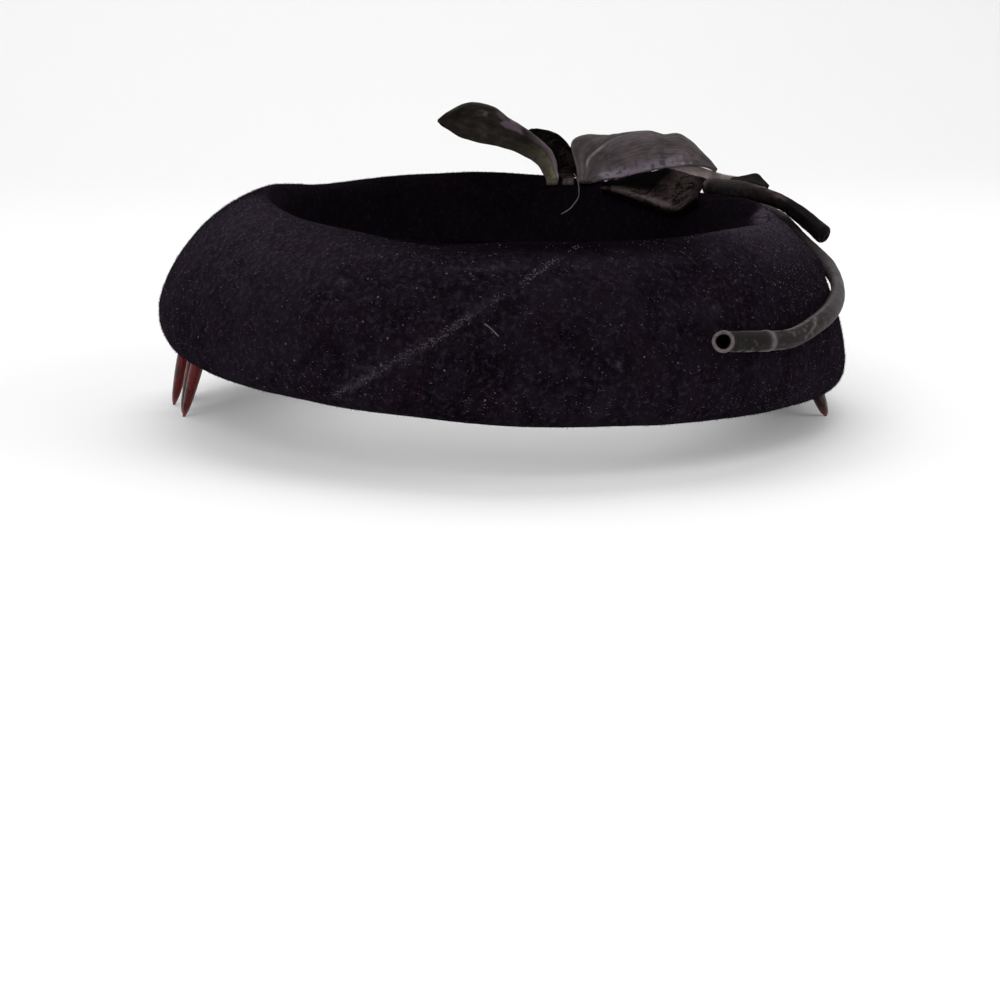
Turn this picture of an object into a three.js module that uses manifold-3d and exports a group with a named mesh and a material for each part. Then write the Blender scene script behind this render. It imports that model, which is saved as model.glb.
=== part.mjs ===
// An open-crown velvet hat trimmed with leather leaves and rolled stems.
// Millimetres, +Z up, the wearer's face towards -Y. The hat stands on the teeth of its two combs, at z = 0.
import * as THREE from 'three';
import Module from 'manifold-3d';

const DEG = Math.PI / 180;

// Driving dimensions of the velvet ring, measured in the ring's own level frame
const WALL = 2.4;
const RING_STEPS = 72;
const LEG_LEAN = 0.15;
const HEM_FULL = 2.8;

// Sections of the ring at eight headings, anticlockwise from +X. From inside to outside: a leg of that
// depth, the ridge rounded by roll, a slope with a bulge of exponent full, the widest line, and the hem
// turned under
const SECTIONS = [
  { ridgeR: 64, ridgeZ: 43.5, roll: 7.5, leg: 17, full: 1.42, wideR: 86.4, wideZ: 8, hemR: 77, hemZ: 1 },
  { ridgeR: 66, ridgeZ: 43, roll: 5.5, leg: 17, full: 1.9, wideR: 87, wideZ: 11, hemR: 79, hemZ: 0.5 },
  { ridgeR: 70, ridgeZ: 42.5, roll: 4.5, leg: 17, full: 1.9, wideR: 91, wideZ: 12, hemR: 83, hemZ: 0 },
  { ridgeR: 66, ridgeZ: 39.5, roll: 5, leg: 17, full: 1.8, wideR: 86.5, wideZ: 12, hemR: 78, hemZ: 0.5 },
  { ridgeR: 62, ridgeZ: 39, roll: 5, leg: 17, full: 1.55, wideR: 86.2, wideZ: 11, hemR: 74.5, hemZ: 1.5 },
  { ridgeR: 64, ridgeZ: 36.8, roll: 3.5, leg: 15, full: 1.7, wideR: 86, wideZ: 11, hemR: 78, hemZ: 0.7 },
  { ridgeR: 69, ridgeZ: 38, roll: 3, leg: 14, full: 1.9, wideR: 90, wideZ: 11, hemR: 82, hemZ: 0.6 },
  { ridgeR: 66, ridgeZ: 41, roll: 4, leg: 15, full: 1.8, wideR: 86.8, wideZ: 9, hemR: 78.5, hemZ: 1.2 },
];

// Value of one column of the section table at any angle, smooth right round the ring
function column(name, angle) {
  const n = SECTIONS.length;
  const at = ((angle / (2 * Math.PI)) * n + n) % n;
  const i = Math.floor(at);
  const t = at - i;
  const [a, b, c, d] = [-1, 0, 1, 2].map((k) => SECTIONS[(i + k + n) % n][name]);
  return b + 0.5 * t * (c - a + t * (2 * a - 5 * b + 4 * c - d + t * (3 * (b - c) + d - a)));
}

// Radius and height on the slope, down = 0 on the ridge and 1 on the widest line
function slopeAt(angle, down) {
  const [ridgeR, ridgeZ, full, wideR, wideZ] =
    ['ridgeR', 'ridgeZ', 'full', 'wideR', 'wideZ'].map((name) => column(name, angle));
  const turn = down * 0.5 * Math.PI;
  return {
    r: ridgeR + (wideR - ridgeR) * Math.sin(turn) ** (2 / full),
    z: wideZ + (ridgeZ - wideZ) * Math.cos(turn) ** (2 / full),
  };
}

// A place held that far clear of the slope
function overSlope({ heading, down, clear }) {
  const step = 1e-3;
  const point = (angle, d) => {
    const { r, z } = slopeAt(angle, d);
    return new THREE.Vector3(r * Math.cos(angle), r * Math.sin(angle), z);
  };
  const at = point(heading * DEG, down);
  const along = point(heading * DEG, down + step).sub(at);
  const around = point(heading * DEG + step, down).sub(at);
  return at.addScaledVector(along.cross(around).normalize(), clear);
}

const LEG_STEPS = 2;
const ROLL_STEPS = 4;
const SLOPE_STEPS = 8;
const HEM_STEPS = 6;

// The velvet's outer line at one angle: up the leg, over the ridge, down the slope and under to the hem
function outerLine(angle) {
  const names = ['ridgeR', 'ridgeZ', 'roll', 'leg', 'wideR', 'wideZ', 'hemR', 'hemZ'];
  const [ridgeR, ridgeZ, roll, leg, wideR, wideZ, hemR, hemZ] = names.map((name) => column(name, angle));
  const line = [];
  for (let i = 0; i < LEG_STEPS; i++) {
    const below = (leg - roll) * (1 - i / LEG_STEPS);
    line.push({ r: ridgeR - roll - LEG_LEAN * below, z: ridgeZ - roll - below });
  }
  for (let i = 0; i < ROLL_STEPS; i++) {
    const turn = (i / ROLL_STEPS) * 0.5 * Math.PI;
    line.push({ r: ridgeR - roll * Math.cos(turn), z: ridgeZ - roll * (1 - Math.sin(turn)) });
  }
  for (let i = 0; i < SLOPE_STEPS; i++) line.push(slopeAt(angle, i / SLOPE_STEPS));
  for (let i = 0; i <= HEM_STEPS; i++) {
    const turn = (i / HEM_STEPS) * 0.5 * Math.PI;
    line.push({
      r: hemR + (wideR - hemR) * Math.max(Math.cos(turn), 0) ** (2 / HEM_FULL),
      z: wideZ + (hemZ - wideZ) * Math.sin(turn) ** (2 / HEM_FULL),
    });
  }
  return line;
}

// Unit direction out of the cloth at point i of a line
function outward(line, i) {
  const before = line[Math.max(i - 1, 0)];
  const after = line[Math.min(i + 1, line.length - 1)];
  const [dr, dz] = [after.r - before.r, after.z - before.z];
  const length = Math.hypot(dr, dz);
  return { r: -dz / length, z: dr / length };
}

// Closed section: the outer line, then the same line moved in by the wall
function sectionLoop(angle) {
  const outer = outerLine(angle);
  const inner = outer.map((p, i) => {
    const n = outward(outer, i);
    return { r: p.r - n.r * WALL, z: p.z - n.z * WALL };
  });
  return [...outer, ...inner.reverse()];
}

// The closed solid swept through loops of points, either back to the first loop or capped at both ends
function sweep(loops, closed) {
  const [n, m] = [loops.length, loops[0].length];
  const position = loops.flat().flatMap((p) => [p.x, p.y, p.z]);
  const index = [];
  for (let i = 0; i < (closed ? n : n - 1); i++) {
    for (let j = 0; j < m; j++) {
      const [a, b] = [i * m + j, i * m + ((j + 1) % m)];
      const [c, d] = [a, b].map((k) => (k + m) % (n * m));
      index.push(a, b, c, b, d, c);
    }
  }
  for (let j = 0; !closed && j < m / 2 - 1; j++) {
    const [a, b, c, d] = [j, j + 1, m - 2 - j, m - 1 - j];
    index.push(a, c, b, a, d, c);
    const [e, f, g, h] = [a, b, c, d].map((k) => (n - 1) * m + k);
    index.push(e, f, g, e, g, h);
  }
  const geometry = new THREE.BufferGeometry();
  geometry.setAttribute('position', new THREE.Float32BufferAttribute(position, 3));
  geometry.setIndex(index);
  geometry.computeVertexNormals();
  return geometry;
}

function ringSolid() {
  const loops = [];
  for (let i = 0; i < RING_STEPS; i++) {
    const angle = (i / RING_STEPS) * 2 * Math.PI;
    const [c, s] = [Math.cos(angle), Math.sin(angle)];
    loops.push(sectionLoop(angle).map(({ r, z }) => new THREE.Vector3(r * c, r * s, z)));
  }
  return sweep(loops, true);
}

// Leaves: each row is a station on the way from the foot to the tip, with points across it from the near
// margin to the far one
const LEAF_THICK = 1;
const LEAF_ACROSS = 5;
const LEAF_LEFT = [
  { near: [22.3, 59.9, 41.7], rib: [20.8, 60.4, 41.6], far: [19.4, 60.8, 41.5] },
  { near: [22.8, 61.6, 43.9], rib: [20.9, 62.4, 43.6], far: [19.1, 62.9, 43.4] },
  { near: [22.5, 63.5, 45.3], rib: [20.7, 64.6, 44.8], far: [18.7, 64.8, 44.4] },
  { near: [21.8, 64.2, 48.3], rib: [19.7, 66.6, 47.5], far: [17.3, 67.4, 46.6] },
  { near: [19.8, 63.5, 51.3], rib: [17.4, 67.6, 49.8], far: [14.5, 69, 48.3] },
  { near: [16.2, 62.5, 54.2], rib: [13.8, 67.8, 52.1], far: [10.8, 70, 49.9] },
  { near: [11.7, 62, 57], rib: [9.5, 68, 54.1], far: [6.7, 70.5, 50.9] },
  { near: [7.2, 61.5, 59.3], rib: [5.2, 68, 55.6], far: [2.7, 71, 51.5] },
  { near: [3, 61, 61.8], rib: [1.1, 67.8, 57.2], far: [-1.4, 71, 52.1] },
  { near: [-1.2, 61.5, 62.8], rib: [-2.9, 67.4, 58.2], far: [-5, 70, 52.9] },
  { near: [-5.6, 62.5, 62.2], rib: [-6.7, 67, 58.6], far: [-8.1, 69, 54.5] },
  { near: [-9.2, 64, 60], rib: [-9.8, 66.5, 58], far: [-10.6, 67.5, 55.8] },
  { near: [-11.6, 65.5, 57.6], rib: [-12, 66, 57.2], far: [-11.8, 66, 56.8] },
];
const LEAF_BACK = [
  { near: [26.6, 57.9, 42.1], rib: [25, 58.6, 42], far: [23.5, 59.3, 41.9] },
  { near: [27, 60.6, 43.9], rib: [25.4, 61.2, 43.7], far: [23.9, 61.8, 43.5] },
  { near: [28, 62.8, 44.2], rib: [25.3, 63.8, 44], far: [22.4, 65.4, 43.9] },
  { near: [30, 66.2, 44.3], rib: [26, 67, 44.2], far: [21.5, 67.5, 44.1] },
  { near: [31, 69.8, 45.8], rib: [26.3, 70.3, 45.5], far: [21.2, 69.6, 45.1] },
  { near: [29.6, 70.5, 48.3], rib: [25.2, 71.3, 48], far: [20.3, 70.3, 47.2] },
  { near: [27.6, 71.5, 51.6], rib: [23.7, 72.2, 51.1], far: [19.4, 71, 49.8] },
  { near: [25.7, 72, 53.7], rib: [22.3, 72.8, 53.4], far: [18.2, 71.6, 52] },
  { near: [23.2, 72.3, 55.4], rib: [20.1, 73, 55.1], far: [16.6, 72, 53.6] },
  { near: [19.8, 72.5, 56], rib: [17.6, 72.8, 56], far: [15.4, 72.3, 55] },
  { near: [15.9, 72.8, 56.4], rib: [15.3, 72.8, 56.1], far: [14.9, 72.7, 55.7] },
];
const LEAF_RIGHT = [
  { near: [31.2, 55.2, 42.9], rib: [29.4, 56, 42.9], far: [27.6, 56.6, 42.8] },
  { near: [33.9, 55.8, 43.6], rib: [30.8, 59.8, 45.2], far: [27.7, 61.9, 46] },
  { near: [36.2, 57, 44], rib: [32.6, 64.9, 48.6], far: [27, 69, 52.2] },
  { near: [38.9, 57.8, 44.3], rib: [36, 66.3, 52], far: [32, 72, 54.2] },
  { near: [42.5, 57.5, 45.2], rib: [39.6, 66.5, 54.1], far: [37.7, 75, 54.1] },
  { near: [47.3, 56.5, 46.9], rib: [44.9, 66.5, 56.5], far: [44.4, 77, 54.2] },
  { near: [50.6, 56, 48], rib: [50.1, 66.3, 57.2], far: [50.7, 77, 54.3] },
  { near: [53.7, 55.6, 48.6], rib: [53.6, 65.6, 56.4], far: [54.3, 76, 54.8] },
  { near: [57.1, 55.4, 49.1], rib: [57.3, 64.5, 57.5], far: [58.3, 74, 55.1] },
  { near: [60.5, 55.2, 49.3], rib: [60.8, 62.5, 56.3], far: [61.9, 70, 53.8] },
  { near: [63.7, 55.2, 49.2], rib: [63.8, 59.5, 53.4], far: [64.9, 64.5, 51.7] },
  { near: [66.8, 55.4, 48], rib: [67, 55.8, 48.3], far: [67, 56.4, 48.3] },
];
const LEAF_PALE = [
  { low: [51.9, 58.9, 47.4], middle: [51.8, 58.5, 47.9], high: [51.7, 58.3, 48.4] },
  { low: [54.6, 58.9, 46.7], middle: [54.4, 58.3, 47.8], high: [54.2, 58.2, 48.9] },
  { low: [57.9, 59.1, 45.8], middle: [57.7, 58.3, 47.5], high: [57.4, 58.2, 49.2] },
  { low: [61, 59.4, 45.2], middle: [60.7, 58.7, 47.2], high: [60.4, 58.6, 49.2] },
  { low: [64.1, 60, 44.9], middle: [63.8, 59.3, 46.9], high: [63.6, 59.2, 48.8] },
  { low: [67.1, 60.1, 44.9], middle: [66.9, 59.5, 46.5], high: [66.7, 59.6, 48] },
  { low: [69.4, 56.9, 45.5], middle: [69.3, 56.4, 46.5], high: [69.2, 56.5, 47.4] },
  { low: [70.5, 51.3, 46.4], middle: [70.4, 50.8, 46.9], high: [70.3, 51, 47.4] },
  { low: [71.1, 45.7, 46.7], middle: [71.2, 45.4, 47.1], high: [71.2, 45.4, 47.5] },
];
const STEM_FLAP = [
  { low: [63.9, 29, 47.3], middle: [64.2, 29.2, 47.6], high: [64.6, 29.5, 47.8] },
  { low: [66.7, 27, 47.4], middle: [67.2, 27.6, 48.1], high: [67.7, 28, 48.8] },
  { low: [69.1, 25.5, 47.2], middle: [69.9, 26.2, 48.4], high: [70.6, 26.8, 49.6] },
  { low: [71.2, 24, 46.8], middle: [71.7, 24.6, 47.5], high: [72.2, 25, 48.1] },
  { low: [72.8, 22.5, 46.3], middle: [73, 22.7, 46.5], high: [73.2, 23, 46.6] },
];
// This one is folded: its near edge turns down inside the ridge
const LEAF_VELVET = [
  { under: [33.3, 51.8, 41.1], fold: [33.2, 52.2, 41.9], crest: [34, 53, 43.1], far: [35.2, 54.3, 43.7] },
  { under: [37, 47.2, 40], fold: [36.4, 49, 41.8], crest: [39, 52.6, 44.5], far: [41.2, 55.5, 44.7] },
  { under: [41.4, 42, 38.7], fold: [40.2, 44.9, 41.3], crest: [44.8, 50.7, 46.2], far: [46.8, 55, 45.9] },
  { under: [45.4, 36.5, 37.8], fold: [44.5, 38.6, 40.4], crest: [50.1, 48.5, 47.9], far: [54.7, 57, 45.4] },
  { under: [48.1, 31.4, 37.6], fold: [48.1, 32, 39.4], crest: [53.8, 44.5, 47.3], far: [58.5, 52.5, 44.6] },
  { under: [50.2, 27.3, 38.3], fold: [50.3, 27, 39.7], crest: [56.1, 41, 47], far: [59.7, 48, 44.3] },
  { under: [52.3, 23.9, 39.8], fold: [52.3, 24.2, 41.3], crest: [58, 38.8, 47], far: [61, 45.2, 44] },
  { under: [54.1, 21.4, 40.9], fold: [54.3, 24.8, 42.9], crest: [59.2, 39, 46.7], far: [62, 44.5, 42.8] },
];

// Thin solid on a grid of stations and points across them
function leafSolid(rows) {
  const grid = rows.map((row) => {
    const across = Object.values(row).map((p) => new THREE.Vector3(...p));
    const steps = across.length > 3 ? LEAF_ACROSS + 1 : LEAF_ACROSS - 1;
    return new THREE.CatmullRomCurve3(across).getPoints(steps);
  });
  const loops = grid.map((points, i) => {
    const before = grid[Math.max(i - 1, 0)];
    const after = grid[Math.min(i + 1, grid.length - 1)];
    const sides = [[], []];
    points.forEach((p, j) => {
      const along = after[j].clone().sub(before[j]);
      const across = points[Math.min(j + 1, points.length - 1)].clone().sub(points[Math.max(j - 1, 0)]);
      const normal = along.cross(across).normalize();
      sides[0].push(p.clone().addScaledVector(normal, -LEAF_THICK / 2));
      sides[1].unshift(p.clone().addScaledVector(normal, LEAF_THICK / 2));
    });
    return sides.flat();
  });
  return sweep(loops, false);
}

// Rolled stems: hollow tubes laid over the slope, lifted clear of it, and pressed flat by the factor flat,
// which spreads them sideways by STEM_SPREAD of what they lose
const STEM_R = 2.4;
const STEM_SPREAD = 0.4;
const STEM_WALL = 0.7;
const STEM_SIDES = 10;
const STEM_LOOP = [
  { heading: -68.9, down: 0.793, clear: 4, flat: 1 },
  { heading: -68, down: 0.79, clear: 2.2, flat: 1 },
  { heading: -66.5, down: 0.788, clear: 0.8, flat: 1 },
  { heading: -64.8, down: 0.788, clear: 0.4, flat: 1 },
  { heading: -60, down: 0.79, clear: 0.45, flat: 1 },
  { heading: -52.4, down: 0.785, clear: 0.45, flat: 1 },
  { heading: -43.7, down: 0.736, clear: 0.45, flat: 0.95 },
  { heading: -36, down: 0.695, clear: 0.45, flat: 0.9 },
  { heading: -27, down: 0.665, clear: 0.45, flat: 0.85 },
  { heading: -18, down: 0.64, clear: 0.45, flat: 0.85 },
  { heading: -10, down: 0.59, clear: 0.45, flat: 0.9 },
  { heading: -5, down: 0.535, clear: 0.45, flat: 0.95 },
  { heading: -1, down: 0.485, clear: 0.45, flat: 0.95 },
  { heading: 2, down: 0.46, clear: 0.45, flat: 0.95 },
  { heading: 5, down: 0.42, clear: 0.45, flat: 0.95 },
  { heading: 10, down: 0.365, clear: 0.45, flat: 0.95 },
  { heading: 17, down: 0.32, clear: 0.45, flat: 0.95 },
  { heading: 25, down: 0.29, clear: 0.45, flat: 0.95 },
];
const STEM_SHORT = [
  { heading: 30, down: 0.12, clear: 0.3, flat: 1 },
  { heading: 25, down: 0.12, clear: 0.3, flat: 1 },
  { heading: 17, down: 0.11, clear: 0.4, flat: 1 },
  { heading: 11, down: 0.13, clear: 1, flat: 0.85 },
  { heading: 8, down: 0.19, clear: 2.1, flat: 0.75 },
  { heading: 5.5, down: 0.27, clear: 3.4, flat: 0.72 },
  { heading: 3, down: 0.35, clear: 4.2, flat: 0.8 },
  { heading: 0.8, down: 0.41, clear: 4.6, flat: 0.9 },
  { heading: -1.6, down: 0.45, clear: 4.9, flat: 0.95 },
];

// The middle of a stem and the way off the velvet at one row of its table
function stemStation({ heading, down, clear, flat }) {
  const foot = overSlope({ heading, down, clear: 0 });
  const off = overSlope({ heading, down, clear: 1 }).sub(foot);
  return { middle: foot.addScaledVector(off, clear + STEM_R * flat), off, flat };
}

function stemSolid(rows, perRow) {
  const stations = rows.map(stemStation);
  const curve = new THREE.CatmullRomCurve3(stations.map((s) => s.middle));
  const steps = (rows.length - 1) * perRow;
  const loops = Array.from({ length: STEM_SIDES }, () => [[], []]);
  for (let i = 0; i <= steps; i++) {
    const k = Math.min(Math.floor(i / perRow), rows.length - 2);
    const t = i / perRow - k;
    const middle = curve.getPoint(i / steps);
    const along = curve.getTangent(i / steps);
    const off = stations[k].off.clone().lerp(stations[k + 1].off, t);
    const pressed = STEM_R * (1 - stations[k].flat * (1 - t) - stations[k + 1].flat * t);
    const side = along.clone().cross(off).normalize();
    const up = side.clone().cross(along);
    loops.forEach((loop, j) => {
      const turn = (j / STEM_SIDES) * 2 * Math.PI;
      [STEM_R, STEM_R - STEM_WALL].forEach((radius, layer) => loop[layer].push(middle.clone()
        .addScaledVector(up, Math.cos(turn) * (radius - pressed))
        .addScaledVector(side, -Math.sin(turn) * (radius + STEM_SPREAD * pressed))));
    });
  }
  return sweep(loops.map(([outer, inner]) => [...outer, ...inner.reverse()]), true);
}

// How the hat stands: the ring leans to the right by this much, this far above the ground
const TILT_DEG = 3.6;
const LIFT = 12;
const hat = new THREE.Group();
hat.rotation.y = TILT_DEG * DEG;
hat.position.z = LIFT;
hat.updateMatrixWorld(true);

// Combs: the spine runs just under the hem through the roots; each tooth ends on the ground at its tip,
// and one without a tip is broken off short
const SEAT = 0.4;
const SPINE = { wide: 2.6, high: 3, beyond: 0.4 };
const TOOTH = { sides: 6, root: [2.5, 3], waist: [2.4, 2.6], waistAt: 0.35, tip: [1.5, 1.5], stub: 1.6 };
const COMB_LEFT = [
  { root: [-76, -1], tip: [-80.5, 0.1] },
  { root: [-78, 4.5], tip: [-81.3, 6] },
  { root: [-79.2, 10] },
  { root: [-79.5, 16], tip: [-83.2, 16.6] },
  { root: [-78.4, 21.5], tip: [-79.8, 22] },
  { root: [-77, 27], tip: [-79, 27.3] },
];
const COMB_RIGHT = [
  { root: [77.6, -20.8], tip: [79.9, -21.3] },
  { root: [78.6, -16] },
  { root: [79.4, -11.2] },
  { root: [79.8, -6.4] },
  { root: [80, -1.6] },
  { root: [80, 3.2] },
  { root: [79.7, 8], tip: [81.6, 8.3] },
  { root: [79.2, 12.8], tip: [81, 13.2] },
  { root: [78.4, 17.6], tip: [80, 18.1] },
];

const wasm = await Module();
wasm.setup();

function toManifold(geometry) {
  return new wasm.Manifold(new wasm.Mesh({
    numProp: 3,
    vertProperties: new Float32Array(geometry.attributes.position.array),
    triVerts: new Uint32Array(geometry.index.array),
  }));
}

// One level section of a tooth, thick across the row of teeth and wide along it
function toothLoop(centre, across, [thick, wide]) {
  const along = new THREE.Vector3(-across.y, across.x, 0);
  return Array.from({ length: TOOTH.sides }, (_, k) => {
    const turn = ((k + 0.5) / TOOTH.sides) * 2 * Math.PI;
    return centre.clone()
      .addScaledVector(across, (Math.cos(turn) * thick) / 2)
      .addScaledVector(along, (-Math.sin(turn) * wide) / 2);
  });
}

function combSolid(teeth) {
  const top = teeth.map(({ root: [x, y] }) => {
    const underHem = column('hemZ', Math.atan2(y, x)) - SEAT;
    return new THREE.Vector3(x, y, underHem).applyMatrix4(hat.matrixWorld);
  });
  const across = top.map((_, i) => {
    const run = top[Math.min(i + 1, top.length - 1)].clone().sub(top[Math.max(i - 1, 0)]);
    return new THREE.Vector3(run.y, -run.x, 0).normalize();
  });
  const ends = top.map((p, i) => {
    const beyond = i === 0 ? p.clone().sub(top[1]) : p.clone().sub(top[top.length - 2]);
    return beyond.multiplyScalar(i === 0 || i === top.length - 1 ? SPINE.beyond : 0);
  });
  const corners = [[-1, 0], [1, 0], [1, -1], [-1, -1]];
  const spine = top.map((p, i) => corners.map(([side, level]) => p.clone()
    .add(ends[i])
    .addScaledVector(across[i], (side * SPINE.wide) / 2)
    .add(new THREE.Vector3(0, 0, level * SPINE.high))));
  let solid = toManifold(sweep(spine, false));
  teeth.forEach(({ tip }, i) => {
    const root = top[i].clone().add(new THREE.Vector3(0, 0, -SPINE.high / 2));
    const foot = tip ? new THREE.Vector3(tip[0], tip[1], 0)
      : root.clone().add(new THREE.Vector3(0, 0, -SPINE.high / 2 - TOOTH.stub));
    const loops = [[0, TOOTH.root], [TOOTH.waistAt, TOOTH.waist], [1, tip ? TOOTH.tip : TOOTH.waist]]
      .map(([at, size]) => toothLoop(root.clone().lerp(foot, at), across[i], size));
    solid = solid.add(toManifold(sweep(loops, false)));
  });
  const { vertProperties, triVerts, numProp } = solid.getMesh();
  if (numProp !== 3) throw new Error('comb mesh has extra properties');
  const geometry = new THREE.BufferGeometry();
  geometry.setAttribute('position', new THREE.Float32BufferAttribute(vertProperties, 3));
  geometry.setIndex([...triVerts]);
  const faceted = geometry.toNonIndexed();
  faceted.computeVertexNormals();
  return faceted;
}

function paint(color, roughness) {
  return new THREE.MeshStandardMaterial({ color, roughness, metalness: 0 });
}
const velvet = paint(0x14111a, 0.95);
const velvetBrown = paint(0x2b221f, 0.95);
const leatherOlive = paint(0x5a5442, 0.7);
const leatherPurple = paint(0x5b5058, 0.5);
const leatherGrey = paint(0x8a8083, 0.6);
const leatherPale = paint(0xb9a9a6, 0.8);
const plasticRed = paint(0x8c2a24, 0.2);
const plasticBrown = paint(0x4a2c20, 0.2);

function addPiece(parent, name, geometry, material) {
  const mesh = new THREE.Mesh(geometry, material);
  mesh.name = name;
  parent.add(mesh);
}

addPiece(hat, 'velvet_ring', ringSolid(), velvet);
addPiece(hat, 'leaf_left', leafSolid(LEAF_LEFT), leatherOlive);
addPiece(hat, 'leaf_back', leafSolid(LEAF_BACK), velvetBrown);
addPiece(hat, 'leaf_right', leafSolid(LEAF_RIGHT), leatherPurple);
addPiece(hat, 'leaf_pale', leafSolid(LEAF_PALE), leatherPale);
addPiece(hat, 'leaf_velvet', leafSolid(LEAF_VELVET), velvetBrown);
addPiece(hat, 'stem_loop', stemSolid(STEM_LOOP, 2), leatherGrey);
addPiece(hat, 'stem_short', stemSolid(STEM_SHORT, 2), leatherGrey);
addPiece(hat, 'stem_flap', leafSolid(STEM_FLAP), leatherGrey);

const part = new THREE.Group();
part.add(hat);
addPiece(part, 'comb_left', combSolid(COMB_LEFT), plasticRed);
addPiece(part, 'comb_right', combSolid(COMB_RIGHT), plasticBrown);

// The middle of the whole stands over the origin
const middle = new THREE.Box3().setFromObject(part, true).getCenter(new THREE.Vector3());
for (const child of part.children) child.position.sub(new THREE.Vector3(middle.x, middle.y, 0));

export default part;
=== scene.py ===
import random
from math import acos, atan2, cos, degrees, hypot, pi, radians, sin, sqrt

import bpy
import numpy as np
from mathutils import Matrix, Vector, noise


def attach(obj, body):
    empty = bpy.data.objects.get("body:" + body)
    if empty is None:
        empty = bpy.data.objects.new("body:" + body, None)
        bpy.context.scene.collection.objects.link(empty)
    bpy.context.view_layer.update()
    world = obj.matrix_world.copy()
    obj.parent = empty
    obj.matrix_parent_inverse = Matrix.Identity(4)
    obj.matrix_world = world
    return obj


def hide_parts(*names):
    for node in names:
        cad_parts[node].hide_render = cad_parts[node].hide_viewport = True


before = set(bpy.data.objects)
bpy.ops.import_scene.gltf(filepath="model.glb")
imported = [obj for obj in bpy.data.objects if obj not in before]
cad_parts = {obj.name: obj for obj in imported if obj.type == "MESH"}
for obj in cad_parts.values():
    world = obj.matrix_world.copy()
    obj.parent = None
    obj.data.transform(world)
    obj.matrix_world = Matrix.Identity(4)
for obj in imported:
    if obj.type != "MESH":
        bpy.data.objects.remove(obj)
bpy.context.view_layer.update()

MM = 0.001
TURN = 2 * pi
QUARTER = pi / 2

# How the level frame lies in the row frame: tilted to the right, lifted onto its teeth and centred on its box
TILT = radians(3.6)
LIFT = 12.0
MIDDLE = (0.6963, 0.5)
HAT = Matrix.Translation((-MIDDLE[0], -MIDDLE[1], LIFT)) @ Matrix.Rotation(TILT, 4, "Y")


def place(points):
    """Points of the hat's own frame, in millimetres, taken to the row frame in metres."""
    turn = np.array(HAT)
    return (np.asarray(points, float) @ turn[:3, :3].T + turn[:3, 3]) * MM


def add_object(name, data):
    added = bpy.data.objects.new(name, data)
    bpy.context.scene.collection.objects.link(added)
    return added


# Camera: it looks at the pivot from the left of the hat's front, slightly down, and shows it at its pixel
PIVOT = Vector((-MIDDLE[0], -MIDDLE[1], 30.0))
AZIMUTH = radians(-8)
ELEVATION = radians(7.5)
DISTANCE = 480.0
PIXELS_PER_MM = 3.92
FRAME_PIXELS = 1000
PIVOT_PIXEL = (500, 292)
SENSOR_MM = 36.0
CLIP_M = (0.02, 20)


def add_camera():
    """A camera held level, with its pitch and heading worked out from the pivot's pixel."""
    focal = PIXELS_PER_MM * DISTANCE
    towards = Vector((-sin(AZIMUTH) * cos(ELEVATION), cos(AZIMUTH) * cos(ELEVATION),
                      -sin(ELEVATION)))
    aside = (PIVOT_PIXEL[0] - FRAME_PIXELS / 2) / focal
    above = (FRAME_PIXELS / 2 - PIVOT_PIXEL[1]) / focal
    length = sqrt(aside ** 2 + above ** 2 + 1)
    pitch = acos(length * towards.z / hypot(1, above)) - atan2(1, above)
    ahead = above * sin(pitch) + cos(pitch)
    heading = atan2(towards.y, towards.x) + atan2(aside, ahead)
    turn = Matrix.Rotation(heading - QUARTER, 4, "Z") @ Matrix.Rotation(QUARTER - pitch, 4, "X")
    data = bpy.data.cameras.new("camera")
    data.sensor_width = SENSOR_MM
    data.lens = focal / FRAME_PIXELS * SENSOR_MM
    data.clip_start, data.clip_end = CLIP_M
    camera = add_object("camera", data)
    camera.matrix_world = Matrix.Translation((PIVOT - towards * DISTANCE) * MM) @ turn
    bpy.context.scene.camera = camera


add_camera()


# Meshes
def mesh_object(name, points, faces):
    """A smooth mesh, from lists of points in metres and of faces."""
    mesh = bpy.data.meshes.new(name)
    mesh.from_pydata(points, [], faces)
    mesh.shade_smooth()
    return add_object(name, mesh)


def finish_piece(piece, material, replaced=None):
    """Gives a piece its material and slot, hides the part that it replaces, and lets it ride the hat."""
    piece.data.materials.append(material)
    if replaced:
        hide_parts(replaced)
    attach(piece, "root")


def grid_object(name, points, closed=False):
    """A smooth mesh on a grid of points, closed back on itself both ways where asked, with a UV of 0 to 1."""
    n, m = points.shape[:2]
    rows, cols = (np.arange(size if closed else size - 1) for size in (n, m))
    i, j = [a.ravel() for a in np.meshgrid(rows, cols, indexing="ij")]
    k, l = (i + 1) % n, (j + 1) % m
    faces = np.stack([i * m + j, k * m + j, k * m + l, i * m + l], 1)
    piece = mesh_object(name, points.reshape(-1, 3).tolist(), faces.tolist())
    u = np.stack([i, i + 1, i + 1, i], 1) / len(rows)
    v = np.stack([j, j, j + 1, j + 1], 1) / len(cols)
    piece.data.uv_layers.new(name="UVMap").data.foreach_set("uv", np.stack([u, v], 2).ravel())
    return piece


def cubic(rows, t):
    """A place on the smooth curve from the second of four rows of numbers to the third."""
    a, b, c, d = rows
    return b + 0.5 * t * (c - a + t * (2 * a - 5 * b + 4 * c - d + t * (3 * (b - c) + d - a)))


def smooth_through(rows, count):
    """count places on the smooth open curve, or sheet, through rows of numbers."""
    p = np.asarray(rows, float)
    p = np.concatenate([2 * p[:1] - p[1:2], p, 2 * p[-1:] - p[-2:-1]])
    t = np.linspace(0, len(rows) - 1, count)
    i = np.minimum(t.astype(int), len(rows) - 2)
    t = (t - i).reshape((-1,) + (1,) * (p.ndim - 1))
    return cubic([p[i + k] for k in range(4)], t)


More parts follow.
